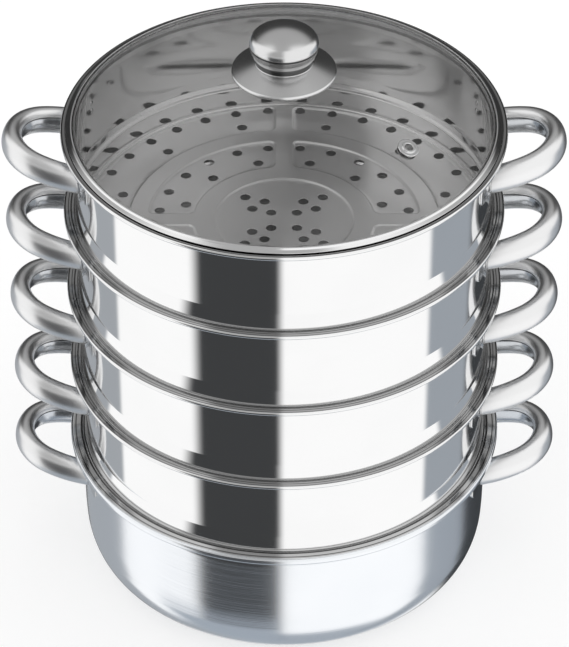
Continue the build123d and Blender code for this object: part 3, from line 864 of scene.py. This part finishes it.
@dataclass
class Pot:
    """The base pot: beaded rim, necked shoulder, wall and rounded bottom corner.

    Below the ease, the wall is drawn in by the ease's turn, in degrees.
    """

    thickness: float = 1.0
    rim_radius: float = 152.18
    rim_height: float = 5.0
    curl: float = 2.1
    neck: float = 5.5
    shoulder: float = 14.0
    bulge: float = 2.1
    side: float = 70.6
    ease: float = 62.0
    ease_turn: float = 3.0
    side_bend: float = 43.2
    side_turn: float = 18.0
    rim_bends: tuple[float, ...] = (1.0, 1.4, 0.6, 0.6, 0.9)
    shoulder_bend: float = 6.0
    ease_bend: float = 250.0

    @property
    def wall_radius(self) -> float:
        """Outer radius of the wall."""
        return STACK.mouth + self.thickness + self.bulge

    def build(self) -> Shape:
        """The pot about its own rim."""
        half = self.thickness / 2
        wall = self.wall_radius - half
        turn = math.radians(self.side_turn)
        tangent = self.side_bend * math.tan(turn / 2)
        corner = -self.side - tangent
        bottom = half - STACK.pot_depth
        slant = (corner - bottom) / math.cos(turn)
        drawn_in = (-self.ease - corner) * math.tan(math.radians(self.ease_turn))
        lower = (slant - tangent) * 0.999
        corners = STACK.rim_corners(self.rim_radius, self.rim_height, self.curl, self.thickness)
        corners += [
            (STACK.mouth + half, -self.neck),
            (wall, -self.shoulder),
            (wall, -self.ease),
            (wall - drawn_in, corner),
            (wall - slant * math.sin(turn), bottom),
            (0.0, bottom),
        ]
        bends = [*self.rim_bends, self.shoulder_bend, self.shoulder_bend, self.ease_bend,
                 self.side_bend, lower / math.tan((math.pi / 2 - turn) / 2)]
        shell = sheet(corners, bends, self.thickness, capped=(True, False), step=5.0).lathe()
        # Painted shade on the rim's top: the second finish.
        STACK.paint_rim_shade(shell, 1)
        return shell


@dataclass
class LoopHandle:
    """A loop of bent tube with its lining strip, its two feet and the weld spots behind them."""

    wall_radius: float
    inner_radius: float
    drop: float = 22.3
    tilt: float = 14.04
    inset: float = 1.8
    reach: float = 45.0
    spread: float = 33.0
    tip: float = 30.0
    half_thickness: float = 6.7
    half_height: float = 9.8
    squareness: float = 2.15
    sheet: float = 1.0
    foot_sheet: float = 1.2
    seam_low: float = -4.2
    seam_high: float = 5.4
    seam_gap: float = 0.32
    foot_aside: float = 39.0
    foot_size: tuple[float, float, float] = (17.0, 7.0, 5.0)
    foot_edge: float = 0.5
    spot_aside: float = 50.0
    spot_radius: float = 1.75
    spot_rise: float = 0.5
    spot_edge: float = 1.5
    spot_offset: float = 3.0

    def path(self, s: np.ndarray) -> tuple[np.ndarray, np.ndarray, float]:
        """Centreline of half the loop by its length from the root.

        The arm starts straight out from the wall, bends on a wide arc about a centre beyond the
        middle, and ends on the round tip, where it crosses the middle plane.

        Args:
            s: lengths from the root; less than zero is inside the wall.

        Returns:
            Points (outwards, sideways), unit normals towards the loop's inside, half length.
        """
        middle = self.reach - self.tip
        side = (middle ** 2 + self.spread ** 2 - self.tip ** 2) / (2 * (self.spread - self.tip))
        turn = math.pi / 2 - math.atan2(side - self.spread, middle)
        first, last = side * turn, self.tip * (math.pi / 2 - turn)
        a = np.clip(s, 0, first) / side
        b = turn + np.clip(s - first, 0, None) / self.tip
        on_side = np.stack([side * np.sin(a) + np.minimum(s, 0),
                            side - self.spread - side * np.cos(a)], -1)
        on_tip = np.stack([middle + self.tip * np.sin(b), -self.tip * np.cos(b)], -1)
        angle = np.where(s > first, b, a)
        inwards = np.stack([-np.sin(angle), np.cos(angle)], -1)
        return np.where((s > first)[..., None], on_tip, on_side), inwards, first + last

    def section(self, angle: np.ndarray, shrink: float) -> np.ndarray:
        """Points of the tube's section, a slightly squared ellipse, by angle.

        Angle 0 looks to the loop's inside and a quarter turn looks up.
        """
        power = 2 / self.squareness
        c, s = np.cos(angle), np.sin(angle)
        return np.stack([
            (self.half_thickness - shrink) * np.sign(c) * np.abs(c) ** power,
            (self.half_height - shrink) * np.sign(s) * np.abs(s) ** power,
        ], -1)

    def strip(self, low: float, high: float) -> np.ndarray:
        """Closed outline of the part of the tube's wall between two section angles."""
        count = max(10, int(abs(high - low) * 9))
        angle = np.linspace(low, high, count)
        outer, inner = self.section(angle, 0.0), self.section(angle[::-1], self.sheet)
        outer[0] += (outer[1] - outer[0]) * 0.2
        outer[-1] += (outer[-2] - outer[-1]) * 0.2

        def cap(start: np.ndarray, end: np.ndarray) -> np.ndarray:
            """A few points that round the strip's edge."""
            t = np.array([0.12, 0.5, 0.88])[:, None]
            return start + (end - start) * t

        return np.concatenate([outer, cap(outer[-1], inner[0]), inner, cap(inner[-1], outer[0])])

    def swept(self, outline: np.ndarray, trim: float, rows: int = 97) -> Shape:
        """Carries a section outline along the loop.

        Each point lies at path + u inwards + v up, and each line along the tube starts where it
        meets the cylinder of the wall, which its length from the root is solved for.

        Args:
            outline: closed section outline of (inwards, up) points.
            trim: radius of the cylinder that the tube's ends stand on.
            rows: sections along the tube.

        Returns:
            The swept shape about the tier's rim.
        """
        tilt = math.radians(self.tilt)
        out = np.array([math.cos(tilt), 0.0, math.sin(tilt)])
        up = np.array([-math.sin(tilt), 0.0, math.cos(tilt)])
        root = self.wall_radius - self.inset
        u, v = outline.T
        aside = self.spread - u
        start = (np.sqrt(trim ** 2 - aside ** 2) + v * math.sin(tilt) - root) / math.cos(tilt)
        _, _, half = self.path(np.zeros(1))
        share = np.linspace(0, 1, rows)[:, None]
        s = start + (2 * half - 2 * start) * share
        mirror = s > half
        line, inwards, _ = self.path(np.where(mirror, 2 * half - s, s))
        flat = line + inwards * u[None, :, None]
        flat[..., 1] = np.where(mirror, -flat[..., 1], flat[..., 1])
        points = (flat[..., :1] * out + flat[..., 1:] * np.array([0.0, 1.0, 0.0])
                  + v[None, :, None] * up + np.array([root, 0.0, -self.drop]))
        return self.shaded(points)

    @staticmethod
    def shaded(points: np.ndarray) -> Shape:
        """A tube-like grid with normals from its own points and with its two ends closed."""
        along = np.gradient(points, axis=0)
        around = np.roll(points, -1, 1) - np.roll(points, 1, 1)
        tube = Shape.grid(points, unit(np.cross(around, along)), (False, True))
        ends = []
        half = points.shape[1] // 2
        for row in (0, -1):
            ring = points[row]
            pair = np.stack([ring[:half], ring[::-1][:half]])
            look = unit(along[row][:half] * (-1 if row == 0 else 1))
            ends.append(Shape.grid(pair, np.broadcast_to(look, pair.shape), (False, False)))
        return Shape.joined([tube, *ends]).welded()

    def shell(self) -> Shape:
        """The tube's wall, open along the strip that the lining closes."""
        gap = self.seam_gap / 2
        low, high = self.seam_angle(self.seam_high + gap), self.seam_angle(self.seam_low - gap)
        return self.swept(self.strip(low, high + TURN), self.wall_radius + self.foot_sheet)

    def liner(self) -> Shape:
        """The lining strip on the tube's inner side."""
        gap = self.seam_gap / 2
        low, high = self.seam_angle(self.seam_low + gap), self.seam_angle(self.seam_high - gap)
        return self.swept(self.strip(low, high), self.wall_radius + self.foot_sheet)

    def seam_angle(self, height: float) -> float:
        """Section angle on the inner side at a height above the section's centre."""
        share = abs(height) / self.half_height
        return math.copysign(math.asin(share ** (self.squareness / 2)), height)

    def feet(self) -> Shape:
        """The two plates under the arms, bent to the wall, with rounded edges."""
        one = self.pillow(*self.foot_size, self.foot_sheet, self.foot_edge)
        return Shape.joined([self.on_wall(one, side * self.foot_aside, self.wall_radius, 1.0)
                             for side in (1, -1)])

    def spots(self) -> Shape:
        """Low round bumps inside the wall, one above the other behind each foot."""
        one = self.pillow(*[self.spot_radius] * 3, self.spot_rise, self.spot_edge)
        return Shape.joined([self.on_wall(one.moved(y=rise), side * self.spot_aside,
                                          self.inner_radius, -1.0)
                             for side in (1, -1) for rise in (self.spot_offset,
                                                              -self.spot_offset)])

    @staticmethod
    def pillow(half_width: float, half_height: float, corner: float, thickness: float,
               edge: float) -> Shape:
        """A flat rounded rectangle with a rounded edge, seen along its third axis.

        Rings of the outline shrink towards the middle; height follows a quarter ellipse over
        the edge's width and is level inside it.

        Args:
            half_width: half of its first side.
            half_height: half of its second side.
            corner: radius of its corners.
            thickness: its height in the middle.
            edge: width of the rounded edge.

        Returns:
            The closed piece, with its bottom at height 0.
        """
        count = 64
        ring = circle(np.arange(count) * TURN / count)
        quarter = circle(np.linspace(0, math.pi / 2, 7))
        core = np.sign(ring) * [half_width - corner, half_height - corner]
        inset = np.concatenate([edge * (1 - quarter[:, 0]),
                                [edge + (min(half_width, half_height) - edge) * 0.5]])
        rise = np.concatenate([quarter[:, 1], [1.0]]) * thickness
        flat = core + (np.maximum(corner - inset, 0.0)[:, None, None] * ring)
        flat[-1] = flat[-1] * 0.5
        middle = np.zeros((1, count, 2))
        flat = np.concatenate([middle, flat[:1], flat, middle])
        level = np.concatenate([[0.0, 0.0], rise, [thickness]])[:, None, None]
        lean = np.concatenate([[[0, -1], [0, -1]], quarter, [[0, 1], [0, 1]]])[:, None]
        column = (*flat.shape[:2], 1)
        points = np.concatenate([flat, np.broadcast_to(level, column)], 2)
        normals = np.concatenate([ring[None] * lean[..., :1],
                                  np.broadcast_to(lean[..., 1:], column)], 2)
        return Shape.grid(points, normals, (False, True)).welded()

    def on_wall(self, flat: Shape, aside: float, radius: float, out: float) -> Shape:
        """Bends a flat piece round the wall.

        Args:
            flat: the piece, with its height along its third axis.
            aside: distance of its middle from the middle plane.
            radius: of the wall that it lies on.
            out: 1 for the wall's outside and -1 for its inside.

        Returns:
            The piece about the tier's rim.
        """
        x, y, z = flat.points.T
        angle = np.arcsin((x + aside) / radius)
        away = radius + out * z
        points = np.stack([away * np.cos(angle), away * np.sin(angle), y - self.drop], -1)
        n = flat.normals
        normals = np.stack([
            out * n[:, 2] * np.cos(angle) - n[:, 0] * np.sin(angle),
            out * n[:, 2] * np.sin(angle) + n[:, 0] * np.cos(angle),
            n[:, 1],
        ], -1)
        return Shape(points, normals, flat.faces, flat.finish).faced()


@dataclass
class Lid:
    """The domed glass with its steel band, knob and vent eyelet, about the top rim."""

    sphere: float = 261.144
    glass: float = 3.5
    edge: float = 143.4
    edge_top: float = 0.9
    flat: float = 0.15
    vent_reach: float = 101.79
    vent_azimuth: float = -37.4
    vent_hole: float = 4.1
    screw_hole: float = 4.0
    fit: float = 0.1
    flange_reach: float = 3.2
    flange_height: float = 0.75
    cover: float = 1.2
    plug_gap: float = 0.6
    plug_sheet: float = 0.6
    plug_depth: float = 4.8
    # Depth below which the plug takes painted shade.
    shaded_depth: float = 2.4
    foot_depth: float = 0.8
    knob_sheet: float = 1.2
    neck_rise: float = 10.9
    neck_radius: float = 19.5
    neck_height: float = 3.9
    base_radius: float = 35.1
    cup_radius: float = 22.3
    cup_height: float = 7.7
    boss_radius: float = 5.0
    boss_bore: float = 2.95
    cap_radius: float = 23.1
    cap_rise: float = 12.0
    cap_bend: float = 7.5
    cap_seat: float = 9.3
    turned_segments: int = 160

    @property
    def centre(self) -> float:
        """Height of the dome's centre."""
        return self.edge_top - math.sqrt(self.sphere ** 2 - self.edge ** 2)

    @property
    def neck(self) -> float:
        """Height of the knob's neck, which stands on the top of the glass."""
        return self.centre + self.sphere + self.neck_rise

    def surface(self, radius: float, depth: float = 0.0) -> float:
        """Height of the glass, or of a surface a depth below it, at a distance from the axis."""
        return self.centre + math.sqrt((self.sphere - depth) ** 2 - radius ** 2)

    def vent_axes(self) -> tuple[np.ndarray, np.ndarray]:
        """Origin and row axes of the vent: its third axis is square to the glass."""
        azimuth, polar = math.radians(self.vent_azimuth), math.asin(self.vent_reach / self.sphere)
        up = np.array([math.sin(polar) * math.cos(azimuth), math.sin(polar) * math.sin(azimuth),
                       math.cos(polar)])
        side = np.array([-math.sin(azimuth), math.cos(azimuth), 0.0])
        origin = up * self.sphere + np.array([0, 0, self.centre])
        return origin, np.stack([np.cross(side, up), side, up])

    def dome(self) -> Shape:
        """The glass: two spheres, a ground flat under its edge and the two holes.

        Flat points on rings are cut into triangles without the holes, and each point is lifted
        onto both spheres along the sphere's radius. The last ring drops straight to the flat.
        """
        inside = self.sphere - self.glass
        seat = math.acos((-self.flat - self.centre) / inside)
        reaches = np.linspace(math.asin(self.screw_hole / self.sphere), seat, 30)
        reaches = np.append(reaches, math.asin(self.edge / self.sphere))
        rows = []
        for row, reach in enumerate(reaches):
            count = 192 if row > 20 else 96 if row > 6 else 48
            rows.append(np.stack([np.full(count, reach), np.arange(count) * TURN / count], -1))
        polar, turn = np.concatenate(rows).T
        flat = np.sin(polar)[:, None] * circle(turn)
        vent = self.vent_axes()[0][:2] / self.sphere
        around = np.arange(32) * TURN / 32
        across = vent / np.linalg.norm(vent)
        along = np.array([-across[1], across[0]])
        squash = math.cos(math.asin(self.vent_reach / self.sphere))
        ring = (np.cos(around)[:, None] * across * squash + np.sin(around)[:, None] * along)
        near = np.linalg.norm((flat - vent) * self.sphere, axis=1) > self.vent_hole * 2.2
        spots = np.concatenate([flat[near]] + [vent + ring * (self.vent_hole * k / self.sphere)
                                               for k in (1.0, 1.35, 1.8)])
        flat, faces = cut_flat(spots, 1e-7)
        middle = flat[faces].mean(1)
        off_vent = (middle - vent) @ np.stack([across / squash, along], -1)
        keep = ((np.hypot(*off_vent.T) * self.sphere > self.vent_hole * 0.98)
                & (np.hypot(*middle.T) * self.sphere > self.screw_hole * 0.98))
        faces = faces[keep]
        look = np.concatenate([flat, np.sqrt(1 - (flat ** 2).sum(1))[:, None]], 1)
        lift = np.array([0, 0, self.centre])
        outer, inner = look * self.sphere + lift, look * inside + lift
        rim = np.hypot(*outer[:, :2].T) > self.edge - 0.01
        inner[rim] = outer[rim] * [1.0, 1.0, 0.0] - [0.0, 0.0, self.flat]
        corners = np.concatenate([faces, faces[:, 2:]], 1)
        border = open_edges(faces)
        middle = flat[border].mean(1)
        away = np.concatenate([middle, np.zeros((len(middle), 1))], 1)
        by_vent = np.linalg.norm(middle - vent, axis=1) * self.sphere < self.vent_hole * 2
        away[by_vent, :2] = vent - middle[by_vent]
        away[np.hypot(*middle.T) * self.sphere < self.screw_hole * 2] *= -1
        walls = Shape.plain(
            np.stack([outer[border[:, 0]], outer[border[:, 1]], inner[border[:, 1]],
                      inner[border[:, 0]]], 1).reshape(-1, 3),
            np.repeat(unit(away), 4, 0), np.arange(len(border) * 4).reshape(-1, 4)).faced()
        top = Shape.plain(outer, look, corners).faced()
        under = Shape.plain(inner, -look, corners).faced()
        return Shape.joined([top, under, walls]).welded()

    def band(self) -> Shape:
        """The ring on the glass edge: a bead, a sloping flange, the foot and the plug.

        Faces under the flange and low on the plug take the second finish, a near-black painted
        shade. The satin ledge under the glass and the inner walls are the third.
        """
        plug, groove = STACK.mouth - self.plug_gap, self.edge + self.fit
        foot, outer, under = STACK.seat - 0.4, self.edge + self.flange_reach, self.flange_height
        inner, shaded, ledge = self.edge - self.cover, -self.shaded_depth, -0.25
        lip, lining = self.surface(inner) + self.fit, plug - self.plug_sheet
        corners = [
            (inner, lip), (groove, self.surface(groove) + self.fit), (groove, ledge),
            (lining, ledge), (lining, shaded), (lining, -self.plug_depth),
            (plug, -self.plug_depth), (plug, -self.foot_depth), (foot, -self.foot_depth),
            (foot, under), (outer, under), (outer, under + 0.3), (groove + 0.9, 2.1),
            (groove - 0.2, 3.05), (inner, 3.1),
        ]
        bends = [0.1, 0.05, 0.05, 0.05, 0.0, 0.2, 0.2, 0.2, 0.2, 0.05, 0.1, 0.2, 0.6, 0.7, 0.3]
        ring = ring_outline(corners, bends).lathe()
        middle, radius = ring.middles()
        height = middle[:, 2]
        # Painted shade: faces under the flange, on the foot and low on the plug take the
        # near-black second finish.
        ring.finish[(radius > groove) & (height < under + 0.03)] = 1
        ring.finish[(height > shaded) & (radius < groove + 0.01) & (height < lip)
                    | (radius < inner + 0.15)] = 2
        ring.finish[height < shaded] = 1
        return ring

    def knob_base(self) -> Shape:
        """The cone on the glass, with a turned-down edge, and the neck in its second finish."""
        half = self.knob_sheet / 2
        foot, side = self.base_radius - half, self.neck_radius - half
        bottom = self.surface(self.base_radius - self.knob_sheet) + self.fit
        root = self.neck - self.neck_height
        corners = [(foot, bottom + half), (foot, bottom + 1.9), (side, root - half),
                   (side, self.neck - half), (self.screw_hole + half, self.neck - half)]
        base = sheet(corners, [1.1, 1.2, 0.9], self.knob_sheet).lathe(self.turned_segments)
        middle, radius = base.middles()
        # Painted shade: the neck's wall takes the dark second finish.
        base.finish[(radius > side) & (middle[:, 2] > root)] = 1
        return base

    def knob_cup(self) -> Shape:
        """The lower half of the knob head, with its threaded boss."""
        half, foot = self.knob_sheet / 2, self.neck
        side, bore, boss = self.cup_radius - half, self.boss_bore, self.boss_radius
        corners = [(side, foot + self.cup_height - half), (side, foot + 3.7),
                   (20.6 - half, foot + half), (0.0, foot + half)]
        cup = sheet(corners, [5.5, 1.6], self.knob_sheet, capped=(True, False))
        plug = ring_outline([(bore, foot + 0.6), (boss, foot + 0.6), (boss, foot + 11.3),
                             (0.0, foot + 11.3), (0.0, foot + 9.3), (bore, foot + 9.3)],
                            [0.02, 0.02, 0.6, 0.0, 0.0, 0.02])
        return Shape.joined([cup.lathe(self.turned_segments), plug.lathe(64)])

    def knob_cap(self) -> Shape:
        """The domed top: a tight turn and a wide crown over a straight edge.

        The straight edge takes the second finish, painted shade for the shade under the seam.
        """
        half = self.knob_sheet / 2
        radius, rise, bend = self.cap_radius - half, self.cap_rise - half, self.cap_bend
        inner, less = radius - bend, rise - bend
        drop = (inner ** 2 - less ** 2) / (2 * less)
        turn = math.atan2(drop, inner)
        side = circle(np.linspace(0, turn, 18))
        crown = circle(np.linspace(turn, math.pi / 2, 22)[1:])
        line = np.concatenate([[[radius, -1.1]], side * bend + [inner, 0],
                               crown * (drop + rise) - [0, drop]])
        look = np.concatenate([[[1.0, 0.0]], side, crown])
        edge = circle(np.linspace(0, -math.pi, 7)[1:-1])
        points = np.concatenate([(line + look * half)[::-1], edge * half + line[0],
                                 line - look * half])
        normals = np.concatenate([look[::-1], edge, -look])
        seat = self.neck + self.cap_seat
        outline = Outline(points + np.array([0.0, seat]), normals, closed=False)
        cap = outline.lathe(self.turned_segments)
        # Painted shade: the straight edge under the seam takes the dark second finish.
        cap.finish[cap.middles()[0][:, 2] < seat] = 1
        return cap

    def eyelet(self) -> Shape:
        """The flanged tube of the vent, with a raised collar round its mouth."""
        tail = -self.glass - 1.6
        corners = [(2.7, tail), (3.9, tail), (3.9, 0.1), (7.2, 0.1), (7.2, 1.0), (4.6, 1.0),
                   (4.6, 1.9), (2.7, 1.9)]
        bends = [0.2, 0.2, 0.1, 0.1, 0.5, 0.3, 0.45, 0.5]
        return ring_outline(corners, bends, 15.0).lathe(48).placed(*self.vent_axes())


class Steamer:
    """Builds every piece, puts it in place and sets it on its body."""

    def __init__(self, palette: Palette) -> None:
        """Keeps the finishes that the pieces take."""
        self.palette = palette

    def add(self, shape: Shape, node: str, body: str, slot: str,
            finishes: Sequence[bpy.types.Material]) -> bpy.types.Object:
        """Adds a piece that stands for a node.

        Args:
            shape: the piece's shape, in place.
            node: the node that it stands for.
            body: the body that it moves with.
            slot: the record's material slot; not used.
            finishes: its materials.

        Returns:
            The piece.
        """
        piece = shape.piece(f"{node}_skin", finishes)
        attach(piece, body)
        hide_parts(node)
        LOG.info("%s: %d points, %d faces, on %s", node, len(shape.points), len(shape.faces), body)
        return piece

    def handles(self, tier: str, body: str, rim: float, handle: LoopHandle) -> None:
        """Adds both handles of a tier.

        Args:
            tier: the tier's node name.
            body: its body.
            rim: height of its rim.
            handle: the handle's sizes.
        """
        pieces = {
            "handle_shell": (handle.shell(), "polished_handle_steel", self.palette.handle),
            "handle_liner": (handle.liner(), "handle_liner_steel", self.palette.liner),
            "handle_feet": (handle.feet(), "foot_plate_steel", self.palette.fitting),
            "weld_spots": (handle.spots(), "foot_plate_steel", self.palette.fitting),
        }
        for side, turn in (("right", 0.0), ("left", 180.0)):
            for kind, (shape, slot, finish) in pieces.items():
                self.add(shape.turned(turn).moved(z=rim), f"{tier}_{side}_{kind}", body, slot,
                         [finish])

    def build_pot(self) -> None:
        """Adds the base pot and its handles."""
        pot = Pot()
        self.add(pot.build().moved(z=STACK.pot_depth), "base_pot", "pot", "brushed_pot_steel",
                 [self.palette.pot, self.palette.pot_rim])
        self.handles("base_pot", "pot", STACK.pot_depth,
                     LoopHandle(pot.wall_radius, pot.wall_radius - pot.thickness))

    def build_baskets(self) -> None:
        """Adds the four steamer baskets and their handles."""
        basket = Basket()
        shell = basket.build()
        handle = LoopHandle(basket.wall_radius, STACK.mouth)
        for tier in range(1, STACK.tiers + 1):
            name = f"steamer_{tier}"
            self.add(shell.moved(z=STACK.rim(tier)), name, name, "polished_basket_steel",
                     [self.palette.wall, self.palette.floor, self.palette.lining,
                      self.palette.rim])
            self.handles(name, name, STACK.rim(tier), handle)

    def build_lid(self, frame: dict) -> None:
        """Adds the lid's pieces and dresses its small fittings.

        Args:
            frame: the loaded frame, for the nodes that stay.
        """
        lid, p = Lid(), self.palette
        pieces = {
            "lid_glass": (lid.dome(), "lid_glass", p.glass),
            # The band's second finish is painted shade.
            "lid_band": (lid.band(), "lid_band_steel", p.band, p.fold, p.ledge),
            # The knob base's second finish is painted shade on the neck.
            "lid_knob_base": (lid.knob_base(), "satin_knob_steel", p.knob, p.neck),
            # The cup's finish is the knob steel darkened as painted shade.
            "lid_knob_cup": (lid.knob_cup(), "satin_knob_steel", p.cup),
            # The cap's second finish is painted shade under the seam.
            "lid_knob_cap": (lid.knob_cap(), "satin_knob_steel", p.knob, p.neck),
            "lid_vent_eyelet": (lid.eyelet(), "small_fittings_steel", p.fitting),
        }
        for node, (shape, slot, *finishes) in pieces.items():
            self.add(shape.moved(z=STACK.top), node, "lid", slot, finishes)
        for node in ("lid_knob_screw", "lid_knob_washer", "lid_vent_back_ring"):
            kept = frame["nodes"][node]
            kept.data.materials.clear()
            kept.data.materials.append(p.fitting)
            LOG.info("%s: kept with a new finish", node)


# Studio


@dataclass(frozen=True)
class Panel:
    """A soft-edged panel of the studio, by its direction from the object.

    Azimuth 0 is the front, at -Y, and grows towards +X. Angles are in degrees.
    """

    left: float
    right: float
    bottom: float
    top: float
    level: tuple[float, float, float, float]
    soft_left: float = 6.0
    soft_right: float = 6.0
    soft_ends: float = 8.0


class Studio:
    """Camera, surroundings and floor."""

    panels: tuple[Panel, ...] = (
        Panel(-180.0, 180.0, -90.0, 5.0, grey(1.04), 0.0, 0.0, 18.0),
        Panel(-180.0, 180.0, -90.0, -68.0, grey(0.44, 0.12), 0.0, 0.0, 12.0),
        Panel(-112.0, -62.0, -10.0, 66.0, grey(0.97), 14.0, 14.0, 12.0),
        Panel(0.0, 112.0, -10.0, 76.0, grey(0.97), 4.0, 14.0, 8.0),
        Panel(-46.0, -5.0, -90.0, -4.0, grey(0.052, 0.05), 9.0, 6.0, 26.0),
        Panel(-76.0, -5.0, -90.0, -51.0, grey(0.42, 0.14), 12.0, 6.0, 7.0),
        Panel(91.0, 124.0, -70.0, -8.0, grey(0.38, 0.12), 5.0, 8.0, 10.0),
        Panel(-158.0, -109.0, -70.0, -8.0, grey(0.40, 0.08), 5.0, 4.0, 10.0),
        Panel(130.0, 190.0, -50.0, -8.0, grey(0.05, 0.1), 8.0, 5.0, 7.0),
        Panel(-190.0, -165.0, -50.0, -8.0, grey(0.04), 5.0, 7.0, 7.0),
        Panel(134.0, 190.0, -8.0, 27.0, grey(0.03), 10.0, 5.0, 13.0),
        Panel(-190.0, -134.0, -8.0, 27.0, grey(0.03), 5.0, 10.0, 13.0),
    )

    lens: float = 195.8
    sensor_width: float = 36.0
    shift: float = 0.0006
    eye: tuple[float, float, float] = (0.0, -1.9386, 1.7077)
    eye_tilt: float = 51.95
    room: float = 0.42
    plain_light: float = 0.9
    floor_half: float = 6000.0
    floor_drop: float = 0.2
    floor_glow: float = 0.57

    def camera(self) -> None:
        """The camera at the photograph's viewing angle."""
        made = bpy.data.cameras.new("camera")
        made.lens, made.sensor_width = self.lens, self.sensor_width
        made.shift_x = self.shift
        made.clip_start, made.clip_end = 0.1, 100.0
        eye = bpy.data.objects.new("camera", made)
        eye.location = self.eye
        eye.rotation_euler = (math.radians(self.eye_tilt), 0.0, 0.0)
        bpy.context.scene.collection.objects.link(eye)
        bpy.context.scene.camera = eye

    def surroundings(self) -> None:
        """The world: plain light, with panels that only gloss and clear glass show."""
        world = bpy.data.worlds.new("studio")
        bpy.context.scene.world = world
        world.use_nodes = True
        book = NodeBook(world.node_tree)
        x, y, z = book.split(book.node("ShaderNodeTexCoord", output="Generated"))
        azimuth = x.angle_from(y * -1.0) * math.degrees(1.0)
        height = z.least(1.0).most(-1.0).arcsine() * math.degrees(1.0)
        shade = grey(self.room)
        for panel in self.panels:
            share = (height.ramp(panel.bottom - panel.soft_ends, panel.bottom)
                     * (1.0 - height.ramp(panel.top, panel.top + panel.soft_ends)))
            if panel.right - panel.left < 360.0:
                share = (share * azimuth.ramp(panel.left - panel.soft_left, panel.left)
                         * (1.0 - azimuth.ramp(panel.right, panel.right + panel.soft_right)))
            shade = book.blend(share, shade, panel.level)
        through = book.blend(azimuth.ramp(-80.0, 0.0), grey(0.82), grey(0.66))
        flag = azimuth.ramp(-54.0, -44.0) * (1.0 - azimuth.ramp(-8.0, 2.0))
        through = book.blend(flag, through, grey(0.30))
        through = book.blend(azimuth.size().ramp(80.0, 150.0), through, grey(0.28))
        path = book.node("ShaderNodeLightPath").socket.node
        light: Value | tuple[float, float, float, float] = grey(self.plain_light)
        for kind, seen in (("Is Glossy Ray", shade), ("Is Transmission Ray", through),
                           ("Is Camera Ray", grey(1.0))):
            light = book.blend(Value(book, path.outputs[kind]), light, seen)
        back = book.node("ShaderNodeBackground", None, {"Color": light, "Strength": 1.0})
        book.close("ShaderNodeOutputWorld", back)

    def floor(self) -> None:
        """The pale floor, which shows the object's shadow."""
        made = bpy.data.materials.new("pale_floor")
        made.use_nodes = True
        book = NodeBook(made.node_tree)
        place = book.node("ShaderNodeTexCoord", output="Object")
        cloud = book.noise(place, 3.0, 2.0)
        matt = book.node("ShaderNodeBsdfPrincipled", None, {
            "Base Color": book.blend(cloud, grey(0.50), grey(0.52)), "Roughness": 0.8,
            "Specular IOR Level": 0.0})
        path = book.node("ShaderNodeLightPath").socket.node
        seen = Value(book, path.outputs["Is Camera Ray"])
        glow = book.node("ShaderNodeEmission", None, {
            "Color": grey(1.0), "Strength": seen * self.floor_glow})
        both = book.node("ShaderNodeAddShader", None, {0: matt, 1: glow})
        book.close("ShaderNodeOutputMaterial", both)
        half = self.floor_half
        corner = np.array([[[-half, -half, 0.0], [half, -half, 0.0]],
                           [[-half, half, 0.0], [half, half, 0.0]]])
        up = np.broadcast_to(np.array([0.0, 0.0, 1.0]), corner.shape)
        flat = Shape.grid(corner, up, (False, False)).moved(z=-self.floor_drop)
        piece = flat.faced().piece("studio_floor", [made])
        piece.visible_glossy = False

    def build(self) -> None:
        """Sets up the whole studio."""
        bpy.context.scene.view_settings.view_transform = "Standard"
        self.camera()
        self.surroundings()
        self.floor()


def main() -> None:
    """Loads the frame and builds the steamer and its studio."""
    logging.basicConfig(level=logging.INFO, format="%(name)s %(message)s")
    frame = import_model()
    steamer = Steamer(Palette())
    steamer.build_pot()
    steamer.build_baskets()
    steamer.build_lid(frame)
    Studio().build()


if __name__ == "__main__":
    main()
